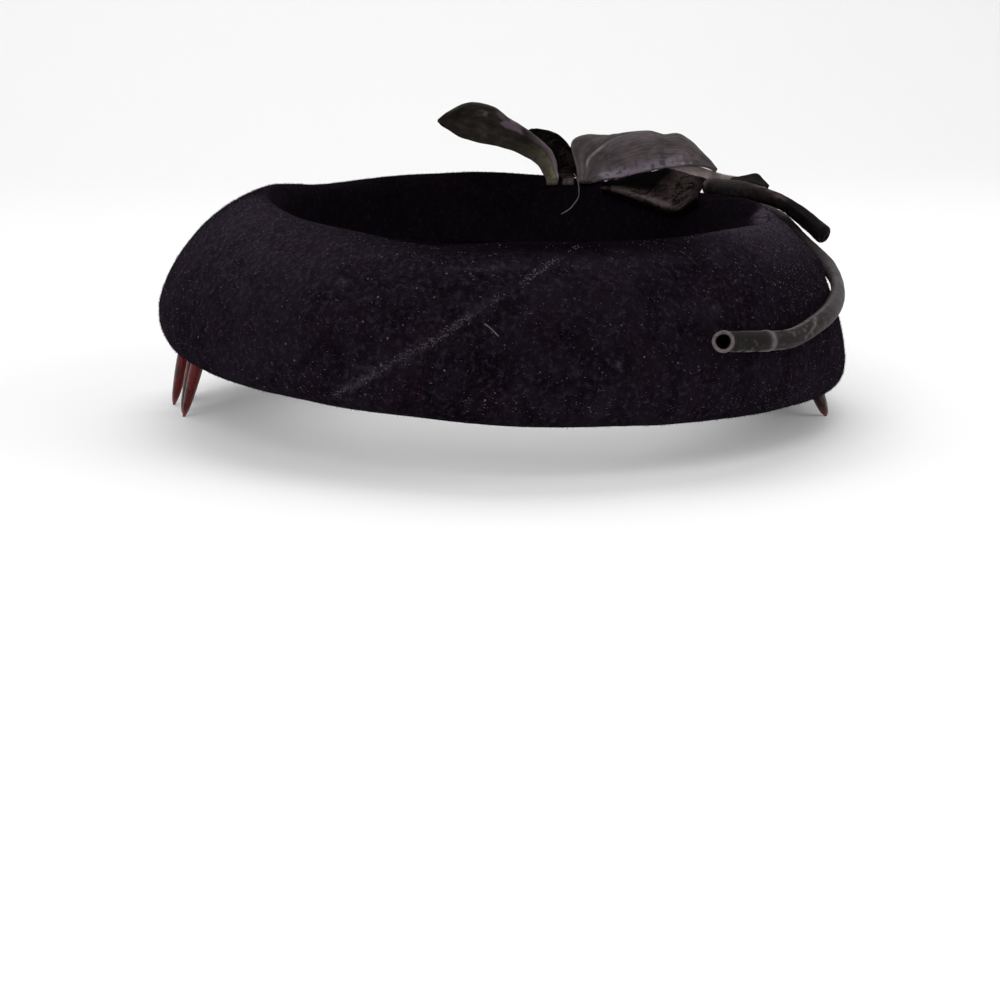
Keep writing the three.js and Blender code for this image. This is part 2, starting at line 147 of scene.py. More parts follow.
def unit(vectors):
    return vectors / np.maximum(np.linalg.norm(vectors, axis=-1, keepdims=True), 1e-9)


def grid_normals(points):
    """Unit normals of an open grid of points."""
    return unit(np.cross(np.gradient(points, axis=0), np.gradient(points, axis=1)))


def rod(sections, sides):
    """Rings of points along a rod, from sections of (middle, half_a, half_b)."""
    turn = np.arange(sides) / sides * TURN
    return np.array([middle + np.outer(np.cos(turn), a) + np.outer(np.sin(turn), b)
                     for middle, a, b in sections])


def rods_object(name, rods):
    """One smooth mesh of closed rods, each given by its rings of points in metres."""
    points, faces = [], []
    for rings in rods:
        count, sides = rings.shape[:2]
        first = len(points)
        points.extend(rings.reshape(-1, 3).tolist())
        for i in range(count - 1):
            for k in range(sides):
                a, b = first + i * sides + k, first + i * sides + (k + 1) % sides
                faces.append((a, b, b + sides, a + sides))
        faces.append(tuple(range(first + sides - 1, first - 1, -1)))
        faces.append(tuple(range(len(points) - sides, len(points))))
    return mesh_object(name, points, faces)


# Numbers that vary over a surface
def lumps(points, wave, seed):
    """Smooth noise from -1 to 1 at points, with bumps about wave long."""
    shift = Vector((seed, -1.7 * seed, 2.3 * seed))
    flat = points.reshape(-1, 3) / wave
    return np.array([noise.noise(Vector(p) + shift) for p in flat]).reshape(points.shape[:-1])


def uneven(points, *layers):
    """Heights of an uneven surface, from layers of smooth noise of (height, wave, seed)."""
    return sum(high * lumps(points, wave, seed) for high, wave, seed in layers)


def ramp(low, high, x):
    """0 to 1 as x goes from low to high, eased at both ends."""
    t = np.clip((x - low) / (high - low), 0, 1)
    return t * t * (3 - 2 * t)


def patches(points, wave, seed, low, high):
    """0 to 1 as smooth noise goes from low to high, which gives uneven patches."""
    return ramp(low, high, lumps(points, wave, seed))


def band(x, rise, fall):
    """0 to 1 over the two places of rise, and back to 0 over those of fall."""
    return ramp(*rise, x) * ramp(*fall, x)


def bell(x, middle, width):
    """1 at the middle, fading over a width to both sides."""
    return np.exp(-((x - middle) / width) ** 2)


def share(x):
    return np.clip(x, 0, 1)


# The velvet ring: its section every 45 degrees round from +X. Roll is the radius of the ridge's inner corner,
# leg the inner leg's reach below the ridge, and full the slope's fullness
WALL = 2.4
LEG_LEAN = 0.15
HEM_FULL = 2.8
SECTION_NAMES = ("ridge_r", "ridge_z", "roll", "leg", "full", "wide_r", "wide_z", "hem_r", "hem_z")
SECTIONS = np.array([
    (64, 43.5, 7.5, 17, 1.42, 86.4, 8, 77, 1),
    (66, 43, 5.5, 17, 1.9, 87, 11, 79, 0.5),
    (70, 42.5, 4.5, 17, 1.9, 91, 12, 83, 0),
    (66, 39.5, 5, 17, 1.8, 86.5, 12, 78, 0.5),
    (62, 39, 5, 17, 1.55, 86.2, 11, 74.5, 1.5),
    (64, 36.8, 3.5, 15, 1.7, 86, 11, 78, 0.7),
    (69, 38, 3, 14, 1.9, 90, 11, 82, 0.6),
    (66, 41, 4, 15, 1.8, 86.8, 9, 78.5, 1.2),
])
AROUND = 480
LEG_STEPS, ROLL_STEPS, SLOPE_STEPS, HEM_STEPS = 14, 8, 46, 18
ROUND_STEPS = 4


# The sewn seam, from the hem up over the ridge: heading and down
SEAM = [(-123, 1.45), (-117, 1.1), (-112.5, 0.94), (-107, 0.8), (-102, 0.64), (-96.5, 0.48), (-92, 0.32),
        (-86, 0.08), (-84, -0.4), (-83, -1), (-82, -2)]
SEAM_LINE = smooth_through(SEAM, 240)
SEAM_DEEP, SEAM_WIDE = 0.7, 0.5
LIP_HIGH, LIP_GAP, LIP_WIDE = 0.3, 1.8, 1.0
PUCKER, PUCKER_WAVES = 0.5, (2.1, 0.77)

# The cloth's unevenness: height, wave and seed
CLOTH = [(0.45, 34, 3), (0.16, 11, 8), (0.05, 3.5, 5)]

# Places where the wall lies lower or higher: heading and down, size in both, height
SWELLS = [((-85.5, -0.25), (1.7, 0.4), -0.2), ((-23, -0.2), (15, 0.4), -1.7), ((5, -0.32), (8, 0.3), 1),
          ((88, -0.05), (30, 0.35), 0.95), ((128, -0.05), (12, 0.35), -0.9), ((153, -0.1), (9, 0.35), 0.6),
          ((-114, -0.1), (14, 0.45), -2), ((-112, 1.75), (30, 0.45), 0.85), ((-147, 1.6), (12, 0.45), 0.9),
          ((-163, 1.5), (9, 0.4), 0.8), ((-20, 0.45), (8, 0.07), 1.2)]


def section_at(angle):
    """The row of the section table at any angle, smooth right round the ring."""
    n = len(SECTIONS)
    at = (angle / TURN * n) % n
    i = int(at)
    row = cubic([SECTIONS[(i + k) % n] for k in (-1, 0, 1, 2)], at - i)
    return dict(zip(SECTION_NAMES, row))


def slope_line(s, down):
    """Radius and height on a section's outer slope, from 0 on the ridge to 1 on the widest line."""
    r = s["ridge_r"] + (s["wide_r"] - s["ridge_r"]) * np.sin(down * QUARTER) ** (2 / s["full"])
    z = s["wide_z"] + (s["ridge_z"] - s["wide_z"]) * np.cos(down * QUARTER) ** (2 / s["full"])
    return r, z


def outer_line(angle):
    """Radius, height and down along the velvet's outer line. Down is -2 at the leg's foot, -1 at the roll,
    0 on the ridge, 1 on the widest line and 2 at the hem's edge."""
    s = section_at(angle)
    leg, roll, slope = (np.arange(steps) / steps for steps in (LEG_STEPS, ROLL_STEPS, SLOPE_STEPS))
    hem = np.arange(HEM_STEPS + 1) / HEM_STEPS
    below = (s["leg"] - s["roll"]) * (1 - leg)
    slope_r, slope_z = slope_line(s, slope)
    r = [
        s["ridge_r"] - s["roll"] - LEG_LEAN * below,
        s["ridge_r"] - s["roll"] * np.cos(roll * QUARTER),
        slope_r,
        s["hem_r"] + (s["wide_r"] - s["hem_r"]) * np.maximum(np.cos(hem * QUARTER), 0) ** (2 / HEM_FULL),
    ]
    z = [
        s["ridge_z"] - s["roll"] - below,
        s["ridge_z"] - s["roll"] * (1 - np.sin(roll * QUARTER)),
        slope_z,
        s["wide_z"] + (s["hem_z"] - s["wide_z"]) * np.sin(hem * QUARTER) ** (2 / HEM_FULL),
    ]
    return np.concatenate(r), np.concatenate(z), np.concatenate([leg - 2, roll - 1, slope, hem + 1])


def spots(heading, down, rows):
    """Spots on the ring that fade outwards, added up: (heading, down), size in both and strength."""
    total = 0
    for middle, size, strength in rows:
        apart = (heading - middle[0] + 180) % 360 - 180
        total = total + strength * bell(apart, 0, size[0]) * bell(down, middle[1], size[1])
    return total


class Velvet:
    """The fine outer surface of the ring, and places on it."""

    def __init__(self):
        self.angles = np.arange(AROUND) * TURN / AROUND
        self.heading = (np.degrees(self.angles)[:, None] + 180) % 360 - 180
        lines = [outer_line(a) for a in self.angles]
        self.down = lines[0][2]
        r, z = (np.stack([line[k] for line in lines]) for k in (0, 1))
        self.base = self.upright(r, z)
        dr, dz = np.gradient(r, axis=1), np.gradient(z, axis=1)
        length = np.hypot(dr, dz)
        out_r, out_z = -dz / length, dr / length
        self.normal = self.upright(out_r, out_z)
        self.inner = self.upright(r - out_r * WALL, z - out_z * WALL)
        self.skin = self.base
        self.seam_gap, self.seam_along = self.near(np.array([self.on(h, d) for h, d in SEAM_LINE]))
        swells = spots(self.heading, self.down, SWELLS)
        self.skin = self.base + self.normal * (self.relief() + swells)[..., None]
        self.inner += self.normal * swells[..., None]

    def upright(self, r, z):
        return np.stack([r * np.cos(self.angles)[:, None], r * np.sin(self.angles)[:, None], z], 2)

    def near(self, line):
        """Distance of each point of the ring from a line of points, and how far along the line that is."""
        along = np.concatenate([[0], np.cumsum(np.linalg.norm(np.diff(line, axis=0), axis=1))])
        flat = self.base.reshape(-1, 3)
        gap = np.full(len(flat), np.inf)
        where = np.zeros(len(flat))
        for p, s in zip(line, along):
            d = np.linalg.norm(flat - p, axis=1)
            closer = d < gap
            gap[closer], where[closer] = d[closer], s
        shape = self.base.shape[:2]
        return gap.reshape(shape), where.reshape(shape)

    def relief(self):
        """Height of the velvet over its smooth form: uneven cloth, the sunk seam and its puckered lips."""
        pulls = np.sin(self.seam_along * PUCKER_WAVES[0]) * np.sin(self.seam_along * PUCKER_WAVES[1] + 1)
        seam = SEAM_DEEP * bell(self.seam_gap, 0, SEAM_WIDE) * ramp(-0.1, 0.4, self.down)
        lips = LIP_HIGH * (1 + PUCKER * pulls) * bell(self.seam_gap, LIP_GAP, LIP_WIDE)
        return uneven(self.base, *CLOTH) - seam + lips

    def on(self, heading, down, clear=0.0):
        """The place on the velvet at a heading in degrees and a down, lifted clear of it."""
        i = (heading / 360 * AROUND) % AROUND
        j = np.interp(down, self.down, np.arange(len(self.down)))
        i0, j0 = int(i), min(int(j), len(self.down) - 2)
        s, t = i - i0, j - j0
        i1 = (i0 + 1) % AROUND
        at = 0
        for grid, weight in ((self.skin, 1), (self.normal, clear)):
            row = grid[i0] * (1 - s) + grid[i1] * s
            at = at + weight * (row[j0] * (1 - t) + row[j0 + 1] * t)
        return at

    def closed(self):
        """The whole section: the skin, a rounded hem edge, the inner side and a rounded foot of the leg."""
        rounds = []
        for end, before in ((-1, -2), (0, 1)):
            middle = (self.skin[:, end] + self.inner[:, end]) / 2
            arm = self.skin[:, end] - middle
            beyond = unit(self.skin[:, end] - self.skin[:, before]) * WALL / 2
            turns = np.arange(1, ROUND_STEPS) / ROUND_STEPS * pi
            if end == 0:
                turns = pi - turns
            rounds.append(np.stack([middle + arm * cos(t) + beyond * sin(t) for t in turns], 1))
        return np.concatenate([self.skin, rounds[0], self.inner[:, ::-1], rounds[1]], 1)


# Materials: scales are in bumps a metre, and those of streaks in bumps a piece
class Graph:
    """A node tree that ends in one Principled shader. Every number that is constant sits on the shader."""

    def __init__(self, name, **constants):
        self.material = bpy.data.materials.new(name)
        self.material.use_nodes = True
        self.nodes = self.material.node_tree.nodes
        self.links = self.material.node_tree.links
        self.shader = self.nodes["Principled BSDF"]
        self.done(**constants)

    def add(self, kind, output=0, settings=(), sockets=(), **inputs):
        """An output of a new node. Its inputs are given by name, or by number in sockets."""
        node = self.nodes.new("ShaderNode" + kind)
        for key, value in dict(settings).items():
            setattr(node, key, value)
        for key, value in (dict(sockets) | inputs).items():
            self.feed(node.inputs[key], value)
        return node.outputs[output]

    def feed(self, socket, value):
        if isinstance(value, bpy.types.NodeSocket):
            self.links.new(value, socket)
        else:
            socket.default_value = value

    def place(self):
        return self.add("TexCoord", "Object")

    def mark(self, name):
        """One of the attributes that paint() stores on a piece."""
        return self.add("Attribute", "Fac", {"attribute_name": name})

    def noise(self, vector, scale, detail=4.0, roughness=0.5, distortion=0.0):
        return self.add("TexNoise", Vector=vector, Scale=scale, Detail=detail, Roughness=roughness,
                        Distortion=distortion)

    def cells(self, vector, scale, output="Distance"):
        return self.add("TexVoronoi", output, Vector=vector, Scale=scale)

    def range(self, value, low, high, to_low=0.0, to_high=1.0):
        return self.add("MapRange", settings={"interpolation_type": "SMOOTHSTEP"},
                        sockets=enumerate((value, low, high, to_low, to_high)))

    def math(self, operation, a, b):
        return self.add("Math", settings={"operation": operation}, sockets=enumerate((a, b)))

    def times(self, a, b):
        return self.math("MULTIPLY", a, b)

    def both(self, a, share_a, b, share_b):
        """The sum of a share of one value and a share of another."""
        return self.math("ADD", self.times(a, share_a), self.times(b, share_b))

    def layers(self, base, *over):
        """A colour with others laid over it in turn, each by its share."""
        colour = rgb(*base)
        for amount, tone in over:
            colour = self.add("Mix", 2, {"data_type": "RGBA"}, {0: amount, 6: colour, 7: rgb(*tone)})
        return colour

    def bump(self, height, distance, strength):
        return self.add("Bump", Height=height, Distance=distance, Strength=strength)

    def done(self, **fed):
        for socket, value in fed.items():
            self.feed(self.shader.inputs[socket.replace("_", " ")], value)
        return self.material


def rgb(r, g, b):
    """A colour given as it shows on a screen, 0 to 255, made linear."""
    def linear(v):
        v /= 255
        return v / 12.92 if v <= 0.04045 else ((v + 0.055) / 1.055) ** 2.4
    return (linear(r), linear(g), linear(b), 1.0)


# Specks of dust on the velvet: one cell in a few carries one
DUST_SCALE = 620


def velvet_material():
    """Purple-black pile: crushed areas, a wine cast, paler tips, worn places and painted highlights, painted
    shade, and dust.
    """
    g = Graph("velvet", Roughness=0.95, Specular_IOR_Level=0.0, Sheen_Weight=0.018, Sheen_Roughness=0.34,
              Sheen_Tint=rgb(214, 198, 224))
    at = g.place()
    broad = g.noise(at, 26, 3, 0.55, 0.6)
    crush = g.noise(at, 170, 5, 0.7, 0.5)
    tufts = g.noise(at, 780, 3, 0.7, 0.3)
    pile = g.noise(at, 2600, 2, 0.6)
    stain = g.mark("stain")
    nap = g.range(g.both(broad, 0.4, crush, 0.6), 0.4, 0.62)
    cast = g.range(g.noise(at, 90, 3, 0.6), 0.5, 0.68, 0, 0.5)
    rubbed = g.times(g.mark("rubbed"), g.range(tufts, 0.34, 0.6, 0.35, 1))
    chosen = g.add("SeparateXYZ", "X", Vector=g.cells(at, DUST_SCALE, "Color"))
    dust = g.times(g.range(g.cells(at, DUST_SCALE), 0.08, 0.2, 1, 0), g.range(chosen, 0.8, 0.88))
    dust = g.times(dust, g.range(g.noise(at, 60, 2), 0.4, 0.62, 0.1, 1))
    dust = g.times(dust, g.range(stain, 0.2, 0.6, 0.55, 0.05))
    # The pale tone marks wear and painted highlights; the near black marks painted shade.
    colour = g.layers((8, 6, 10), (nap, (24, 19, 26)), (cast, (24, 12, 20)),
                      (g.range(tufts, 0.48, 0.72, 0, 0.75), (43, 36, 46)),
                      (g.range(pile, 0.4, 0.8, 0, 0.4), (36, 30, 39)),
                      (rubbed, (92, 83, 96)), (stain, (5, 3, 5)), (dust, (120, 110, 118)))
    return g.done(Base_Color=colour, Normal=g.bump(g.both(pile, 0.35, tufts, 0.65), 0.0006, 0.8))


def velvet_brown_material():
    """Crushed brown velvet, paler on its folds as a painted highlight, and darker where marked, mostly as
    painted shade.
    """
    g = Graph("velvet_brown", Roughness=0.95, Specular_IOR_Level=0.0, Sheen_Weight=0.02, Sheen_Roughness=0.35,
              Sheen_Tint=rgb(222, 205, 205))
    at = g.place()
    mottled = g.noise(at, 210, 5, 0.65, 1.2)
    fine = g.noise(at, 1500, 3, 0.6)
    rubbed = g.times(g.mark("rubbed"), g.range(fine, 0.25, 0.6, 0.4, 1))
    colour = g.layers((9, 7, 7), (g.range(mottled, 0.38, 0.64), (50, 42, 41)),
                      (g.range(fine, 0.5, 0.78, 0, 0.6), (90, 78, 77)),
                      (rubbed, (104, 92, 94)), (g.mark("stain"), (4, 3, 3)))
    return g.done(Base_Color=colour, Normal=g.bump(g.both(fine, 0.4, mottled, 0.6), 0.0007, 0.8))


def leather_material(name, dark, light, worn, roughness=0.6, grain=0.8, streak=(1, 1, 1), stain=(24, 17, 19),
                     tint=(126, 108, 124), shine=0.2):
    """Thin leather, pebbled, streaked and mottled, with worn, stained, tinted and glazed places; the same
    marks also lay painted highlights and painted shade on some pieces.
    """
    g = Graph(name, Specular_IOR_Level=shine)
    at = g.place()
    mottled = g.noise(at, 190, 4, 0.6, 0.8)
    streaks = g.noise(g.add("Mapping", Vector=g.add("TexCoord", "UV"), Scale=streak), 9, 5, 0.65, 0.4)
    flecks = g.noise(at, 620, 4, 0.7)
    pebbles = g.cells(at, 1900)
    stained = g.times(g.mark("stain"), g.range(mottled, 0.3, 0.6, 0.55, 1))
    rubbed = g.times(g.mark("rubbed"), g.range(flecks, 0.32, 0.58, 0.4, 1))
    colour = g.layers(dark, (g.range(g.both(mottled, 0.5, streaks, 0.5), 0.38, 0.62), light),
                      (g.range(flecks, 0.52, 0.72, 0, 0.55), light),
                      (g.range(flecks, 0.48, 0.3, 0, 0.45), dark),
                      (stained, stain), (rubbed, worn), (g.mark("tint"), tint))
    rough = g.range(g.math("ADD", mottled, g.mark("gloss")), 0.45, 1.5, roughness, 0.2)
    height = g.both(pebbles, 0.25 * grain, streaks, 0.75)
    return g.done(Base_Color=colour, Roughness=rough, Normal=g.bump(height, 0.0004, 0.75))


def plastic_material(name, deep, pale):
    """Slightly clouded plastic, with fine scuffs along the teeth and paler tips."""
    g = Graph(name, Specular_IOR_Level=0.25, IOR=1.49, Transmission_Weight=0.05)
    at = g.place()
    scuffs = g.noise(g.add("Mapping", Vector=at, Scale=(1, 1, 0.12)), 1700, 3, 0.6)
    cloud = g.range(g.noise(at, 240, 3, 0.5), 0.35, 0.65)
    colour = g.layers(deep, (cloud, pale), (g.mark("rubbed"), (150, 70, 72)))
    return g.done(Base_Color=colour, Roughness=g.range(scuffs, 0.3, 0.8, 0.12, 0.4),
                  Normal=g.bump(scuffs, 0.0001, 0.5))


def thread_material(name, dark, light, shine=0.1):
    g = Graph(name, Roughness=0.8, Specular_IOR_Level=shine)
    return g.done(Base_Color=g.layers(dark, (g.noise(g.place(), 900, 3, 0.6), light)))


# The marks that the materials read as attributes, and the most that each may be. Besides wear, stains and
# tints, they carry painted highlights and painted shade.
MARKS = {"rubbed": 1, "stain": 1, "tint": 1, "gloss": 2}


def paint(piece, **marks):
    """Stores a piece's marks, each a grid with a number for every point. A mark that isn't given is 0."""
    count = len(piece.data.vertices)
    for name, most in MARKS.items():
        layer = piece.data.attributes.new(name, "FLOAT", "POINT")
        values = np.clip(marks.get(name, np.zeros(count)), 0, most)
        layer.data.foreach_set("value", values.astype(np.float32).ravel())


VELVET = velvet_material()
VELVET_BROWN = velvet_brown_material()
OLIVE = leather_material("leather_olive", (31, 27, 24), (62, 56, 48), worn=(98, 96, 74), roughness=0.7)
PURPLE = leather_material("leather_purple", (34, 27, 27), (69, 59, 59), worn=(118, 106, 112),
                          streak=(0.35, 7, 1), tint=(94, 82, 97))
GREY = leather_material("leather_grey", (13, 10, 10), (36, 29, 29), worn=(104, 94, 96), grain=0.6,
                        streak=(1.2, 5, 1), stain=(17, 10, 9), tint=(60, 53, 54), shine=0.1)
DARK_GREY = leather_material("leather_dark", (8, 6, 6), (31, 24, 23), worn=(86, 73, 72), roughness=0.7,
                             streak=(1.2, 5, 1), stain=(9, 5, 8), tint=(104, 76, 78), shine=0.08)
PALE = leather_material("leather_pale", (140, 127, 124), (172, 158, 154), worn=(196, 184, 180),
                        roughness=0.85, grain=0.5, tint=(196, 184, 180))
RED = plastic_material("plastic_red", (42, 2, 3), (92, 8, 8))
BROWN = plastic_material("plastic_brown", (24, 13, 10), (64, 32, 20))
THREAD = thread_material("thread", (66, 62, 58), (106, 102, 97))
PILE = thread_material("pile", (5, 4, 6), (17, 14, 20), 0.0)
LINT = thread_material("lint", (54, 48, 56), (118, 109, 117))
STRAW = thread_material("straw_lint", (68, 62, 54), (112, 104, 90))


# Paler marks, and painted shade in hollows, on the velvet: heading and down, size in both, strength
PALE_MARKS = [((-103.5, 0.39), (2.6, 0.012), 0.22), ((-99, 0.36), (2.4, 0.012), 0.26),
              ((-80, 0.18), (1.6, 0.035), 0.3), ((-82.5, 0.9), (0.35, 0.012), 0.8),
              ((-124, 0.55), (1.2, 0.02), 0.25), ((-66, 0.62), (1.0, 0.02), 0.25)]
HOLLOWS = [((-19, 0.47), (9, 0.05), 2), ((-38, 0.5), (20, 0.2), 1), ((-92, 0.75), (40, 0.35), 0.7)]
# How dark the wall's inner side and its rounded edges are painted
WALL_DARKENING = 0.6

# Where the painted shade inside the crown begins: heading, down
INSIDE_FROM = [(-180, -0.25), (-150, -0.2), (-120, 0.02), (-100, 0.06), (-60, 0), (-42, -0.5), (-20, -0.55),
               (-12, -0.45), (-6, -0.1), (0, 0.05), (40, 0.05), (90, 0.05), (140, 0), (180, -0.25)]


def add_ring():
    """The velvet, with painted highlights on its right ridge and left slope, paler along its seam, and painted
    shade in the crown, under the opening and in hollows.
    """
    velvet = Velvet()
    ring = grid_object("ring_velvet", place(velvet.closed()), closed=True)
    heading = velvet.heading
    down = np.broadcast_to(velvet.down, velvet.base.shape[:2])
    ragged = lumps(velvet.base, 9, 14)
    # Painted highlights: the lit band along the right ridge, and the lit left slope.
    ridge = bell(down, -0.12, 0.36) * band(heading, (-75, -40), (40, 8))
    left = bell(down, 0.2, 0.5) * bell(heading, -160, 45)
    seam = bell(velvet.seam_gap, 0, SEAM_WIDE) * (down > 0.1) * share(0.7 + 0.7 * ragged)
    spread = bell(velvet.seam_gap, 0, 4) * (0.5 + 0.5 * ragged)
    rubbed = 0.46 * ridge + 0.13 * left + 0.4 * seam + 0.04 * spread + spots(heading, down, PALE_MARKS)
    # Painted shade: inside the crown, in the band just under the opening (brow) and in the hollows.
    crown = np.interp(heading[:, 0], *zip(*INSIDE_FROM))[:, None]
    inside = ramp(crown + 0.1, crown - 0.1, down + 0.06 * ragged)
    brow = bell(heading, -90, 36) * ramp(0.34, 0.14, down)
    hollow = 3.2 * brow + spots(heading, down, HOLLOWS)
    outer = len(velvet.down)
    marks = np.zeros((2, AROUND, len(ring.data.vertices) // AROUND))
    # The wall's inner side and rounded edges are painted dark.
    marks[1] = WALL_DARKENING
    marks[0, :, :outer] = rubbed * (1 - inside)
    marks[1, :, :outer] = 0.75 * inside + 0.3 * hollow
    paint(ring, rubbed=marks[0], stain=marks[1])
    finish_piece(ring, VELVET, "velvet_ring")
    return velvet


# Leaves: each row is a station on the way from the foot to the tip, with points across it
LEAF_THICK, THIN_LEAF = 0.9, 0.7
LEAF_ALONG, LEAF_ACROSS = 96, 36
LEAF_LEFT = [
    ((22.3, 59.9, 41.7), (20.8, 60.4, 41.6), (19.4, 60.8, 41.5)),
    ((22.8, 61.6, 43.9), (20.9, 62.4, 43.6), (19.1, 62.9, 43.4)),
    ((22.5, 63.5, 45.3), (20.7, 64.6, 44.8), (18.7, 64.8, 44.4)),
    ((21.8, 64.2, 48.3), (19.7, 66.6, 47.5), (17.3, 67.4, 46.6)),
    ((19.8, 63.5, 51.3), (17.4, 67.6, 49.8), (14.5, 69, 48.3)),
    ((16.2, 62.5, 54.2), (13.8, 67.8, 52.1), (10.8, 70, 49.9)),
    ((11.7, 62, 57), (9.5, 68, 54.1), (6.7, 70.5, 50.9)),
    ((7.2, 61.5, 59.3), (5.2, 68, 55.6), (2.7, 71, 51.5)),
    ((3, 61, 61.8), (1.1, 67.8, 57.2), (-1.4, 71, 52.1)),
    ((-1.2, 61.5, 62.8), (-2.9, 67.4, 58.2), (-5, 70, 52.9)),
    ((-5.6, 62.5, 62.2), (-6.7, 67, 58.6), (-8.1, 69, 54.5)),
    ((-9.2, 64, 60), (-9.8, 66.5, 58), (-10.6, 67.5, 55.8)),
    ((-11.6, 65.5, 57.6), (-12, 66, 57.2), (-11.8, 66, 56.8)),
]
LEAF_BACK = [
    ((26.6, 57.9, 42.1), (25, 58.6, 42), (23.5, 59.3, 41.9)),
    ((27, 60.6, 43.9), (25.4, 61.2, 43.7), (23.9, 61.8, 43.5)),
    ((28, 62.8, 44.6), (25.3, 63.8, 44), (22.4, 65.4, 43.9)),
    ((30, 66.2, 44.3), (26, 67, 44.2), (21.5, 67.5, 44.1)),
    ((31, 69.8, 46.8), (26.3, 70.3, 45.5), (21.2, 69.6, 45.1)),
    ((30.2, 70.5, 49.3), (25.2, 71.3, 48), (20.3, 70.3, 47.2)),
    ((27.6, 71.5, 51.6), (23.7, 72.2, 51.1), (19.4, 71, 49.8)),
    ((25.7, 72, 53.7), (22.3, 72.8, 53.4), (18.2, 71.6, 52)),
    ((23.2, 72.3, 55.4), (20.1, 73, 55.1), (16.6, 72, 53.6)),
    ((19.8, 72.5, 56), (17.6, 72.8, 56), (15.4, 72.3, 55)),
    ((15.9, 72.8, 56.4), (15.3, 72.8, 56.1), (14.9, 72.7, 55.7)),
]
LEAF_RIGHT = [
    ((31.2, 55.2, 42.9), (29.4, 56, 42.9), (27.6, 56.6, 42.8)),
    ((33.9, 55.8, 43.6), (30.8, 59.8, 45.2), (27.7, 61.9, 46.5)),
    ((36.2, 57, 44), (32.6, 64.9, 48.6), (27, 69, 53)),
    ((38.9, 57.8, 44.3), (36, 66.3, 52.2), (32, 72, 55.4)),
    ((42.5, 57.5, 45.2), (39.6, 66.5, 54.8), (37.7, 75, 55.2)),
    ((47.3, 56.5, 46.9), (44.9, 66.5, 56.5), (44.4, 77, 54.2)),
    ((50.6, 56, 48), (50.1, 66.3, 57.2), (50.7, 77, 54.3)),
    ((53.7, 55.6, 48.6), (53.6, 65.6, 56.4), (54.3, 76, 54.8)),
    ((57.1, 55.4, 49.1), (57.3, 64.5, 56.8), (58.3, 74, 54.5)),
    ((60.5, 55.2, 49.3), (60.8, 62.5, 55.1), (61.9, 70, 52.8)),
    ((63.7, 55.2, 49.2), (63.8, 59.5, 52.1), (64.9, 64.5, 50.5)),
    ((66.8, 55.4, 48), (67, 55.8, 48.3), (67, 56.4, 48.3)),
]
LEAF_PALE = [
    ((51.9, 58.9, 47.4), (51.8, 58.5, 47.9), (51.7, 58.3, 48.4)),
    ((54.6, 58.9, 46.7), (54.4, 58.3, 47.8), (54.2, 58.2, 48.9)),
    ((57.9, 59.1, 45.8), (57.7, 58.3, 47.5), (57.4, 58.2, 49.2)),
    ((61, 59.4, 45.2), (60.7, 58.7, 47.2), (60.4, 58.6, 49.2)),
    ((64.1, 60, 44.9), (63.8, 59.3, 46.9), (63.6, 59.2, 48.8)),
    ((67.1, 60.1, 44.9), (66.9, 59.5, 46.5), (66.7, 59.6, 48)),
    ((69.4, 56.9, 45.5), (69.3, 56.4, 46.5), (69.2, 56.5, 47.4)),
    ((70.5, 51.3, 46.4), (70.4, 50.8, 46.9), (70.3, 51, 47.4)),
    ((71.1, 45.7, 46.7), (71.2, 45.4, 47.1), (71.2, 45.4, 47.5)),
]
STEM_FLAP = [
    ((63.9, 29, 47.3), (64.2, 29.2, 47.6), (64.6, 29.5, 47.8)),
    ((66.7, 27, 47.4), (67.2, 27.6, 48.1), (67.7, 28, 48.8)),
    ((69.1, 25.5, 47.2), (69.9, 26.2, 48.4), (70.6, 26.8, 49.6)),
    ((71.2, 24, 46.8), (71.7, 24.6, 47.5), (72.2, 25, 48.1)),
    ((72.8, 22.5, 46.3), (73, 22.7, 46.5), (73.2, 23, 46.6)),
]
LEAF_VELVET = [
    ((33.3, 51.8, 41.1), (33.2, 52.2, 41.9), (34, 53, 43.1), (35.2, 54.3, 43.7)),
    ((37, 47.2, 40), (36.4, 49, 41.8), (39, 52.6, 44.5), (41.2, 55.5, 44.7)),
    ((41.4, 42, 38.7), (40.2, 44.9, 41.3), (44.8, 50.7, 46.2), (46.8, 55, 45.9)),
    ((45.4, 36.5, 37.8), (44.5, 38.6, 40.4), (50.1, 48.5, 47.9), (54.7, 57, 45.4)),
    ((48.1, 31.4, 37.6), (48.1, 32, 39.4), (53.8, 44.5, 47.3), (58.5, 52.5, 44.6)),
    ((50.2, 27.3, 38.3), (50.3, 27, 39.7), (56.1, 41, 47), (59.7, 48, 44.3)),
    ((52.3, 23.9, 39.8), (52.3, 24.2, 41.3), (58, 38.8, 47), (61, 45.2, 44)),
    ((54.1, 21.4, 40.9), (54.3, 24.8, 42.9), (60.4, 39.3, 46.5), (62.4, 44.5, 42.8)),
]


def leaf_grid(rows, along=LEAF_ALONG, across=LEAF_ACROSS):
    """A fine grid of points on the leaf, with u from foot to tip and v from the near margin to the far."""
    sheet = smooth_through(rows, along)
    points = smooth_through(sheet.transpose(1, 0, 2), across).transpose(1, 0, 2)
    u, v = np.meshgrid(np.linspace(0, 1, along), np.linspace(0, 1, across), indexing="ij")
    return points, u, v


def ellipse(u, v, middle, size):
    """1 in the middle of a patch, falling softly to 0 past its size."""
    return ramp(1.25, 0.7, np.hypot((u - middle[0]) / size[0], (v - middle[1]) / size[1]))


def vein(u, v, start, end, width):
    """1 along a line between two places on a leaf, fading over its width."""
    start, end = np.array(start), np.array(end)
    run = end - start
    t = share(((u - start[0]) * run[0] + (v - start[1]) * run[1]) / (run @ run))
    return bell(np.hypot(u - start[0] - t * run[0], v - start[1] - t * run[1]), 0, width)


def margins(v, width):
    """1 on both long margins of a leaf, fading over a width."""
    return bell(v, 0, width) + bell(v, 1, width)


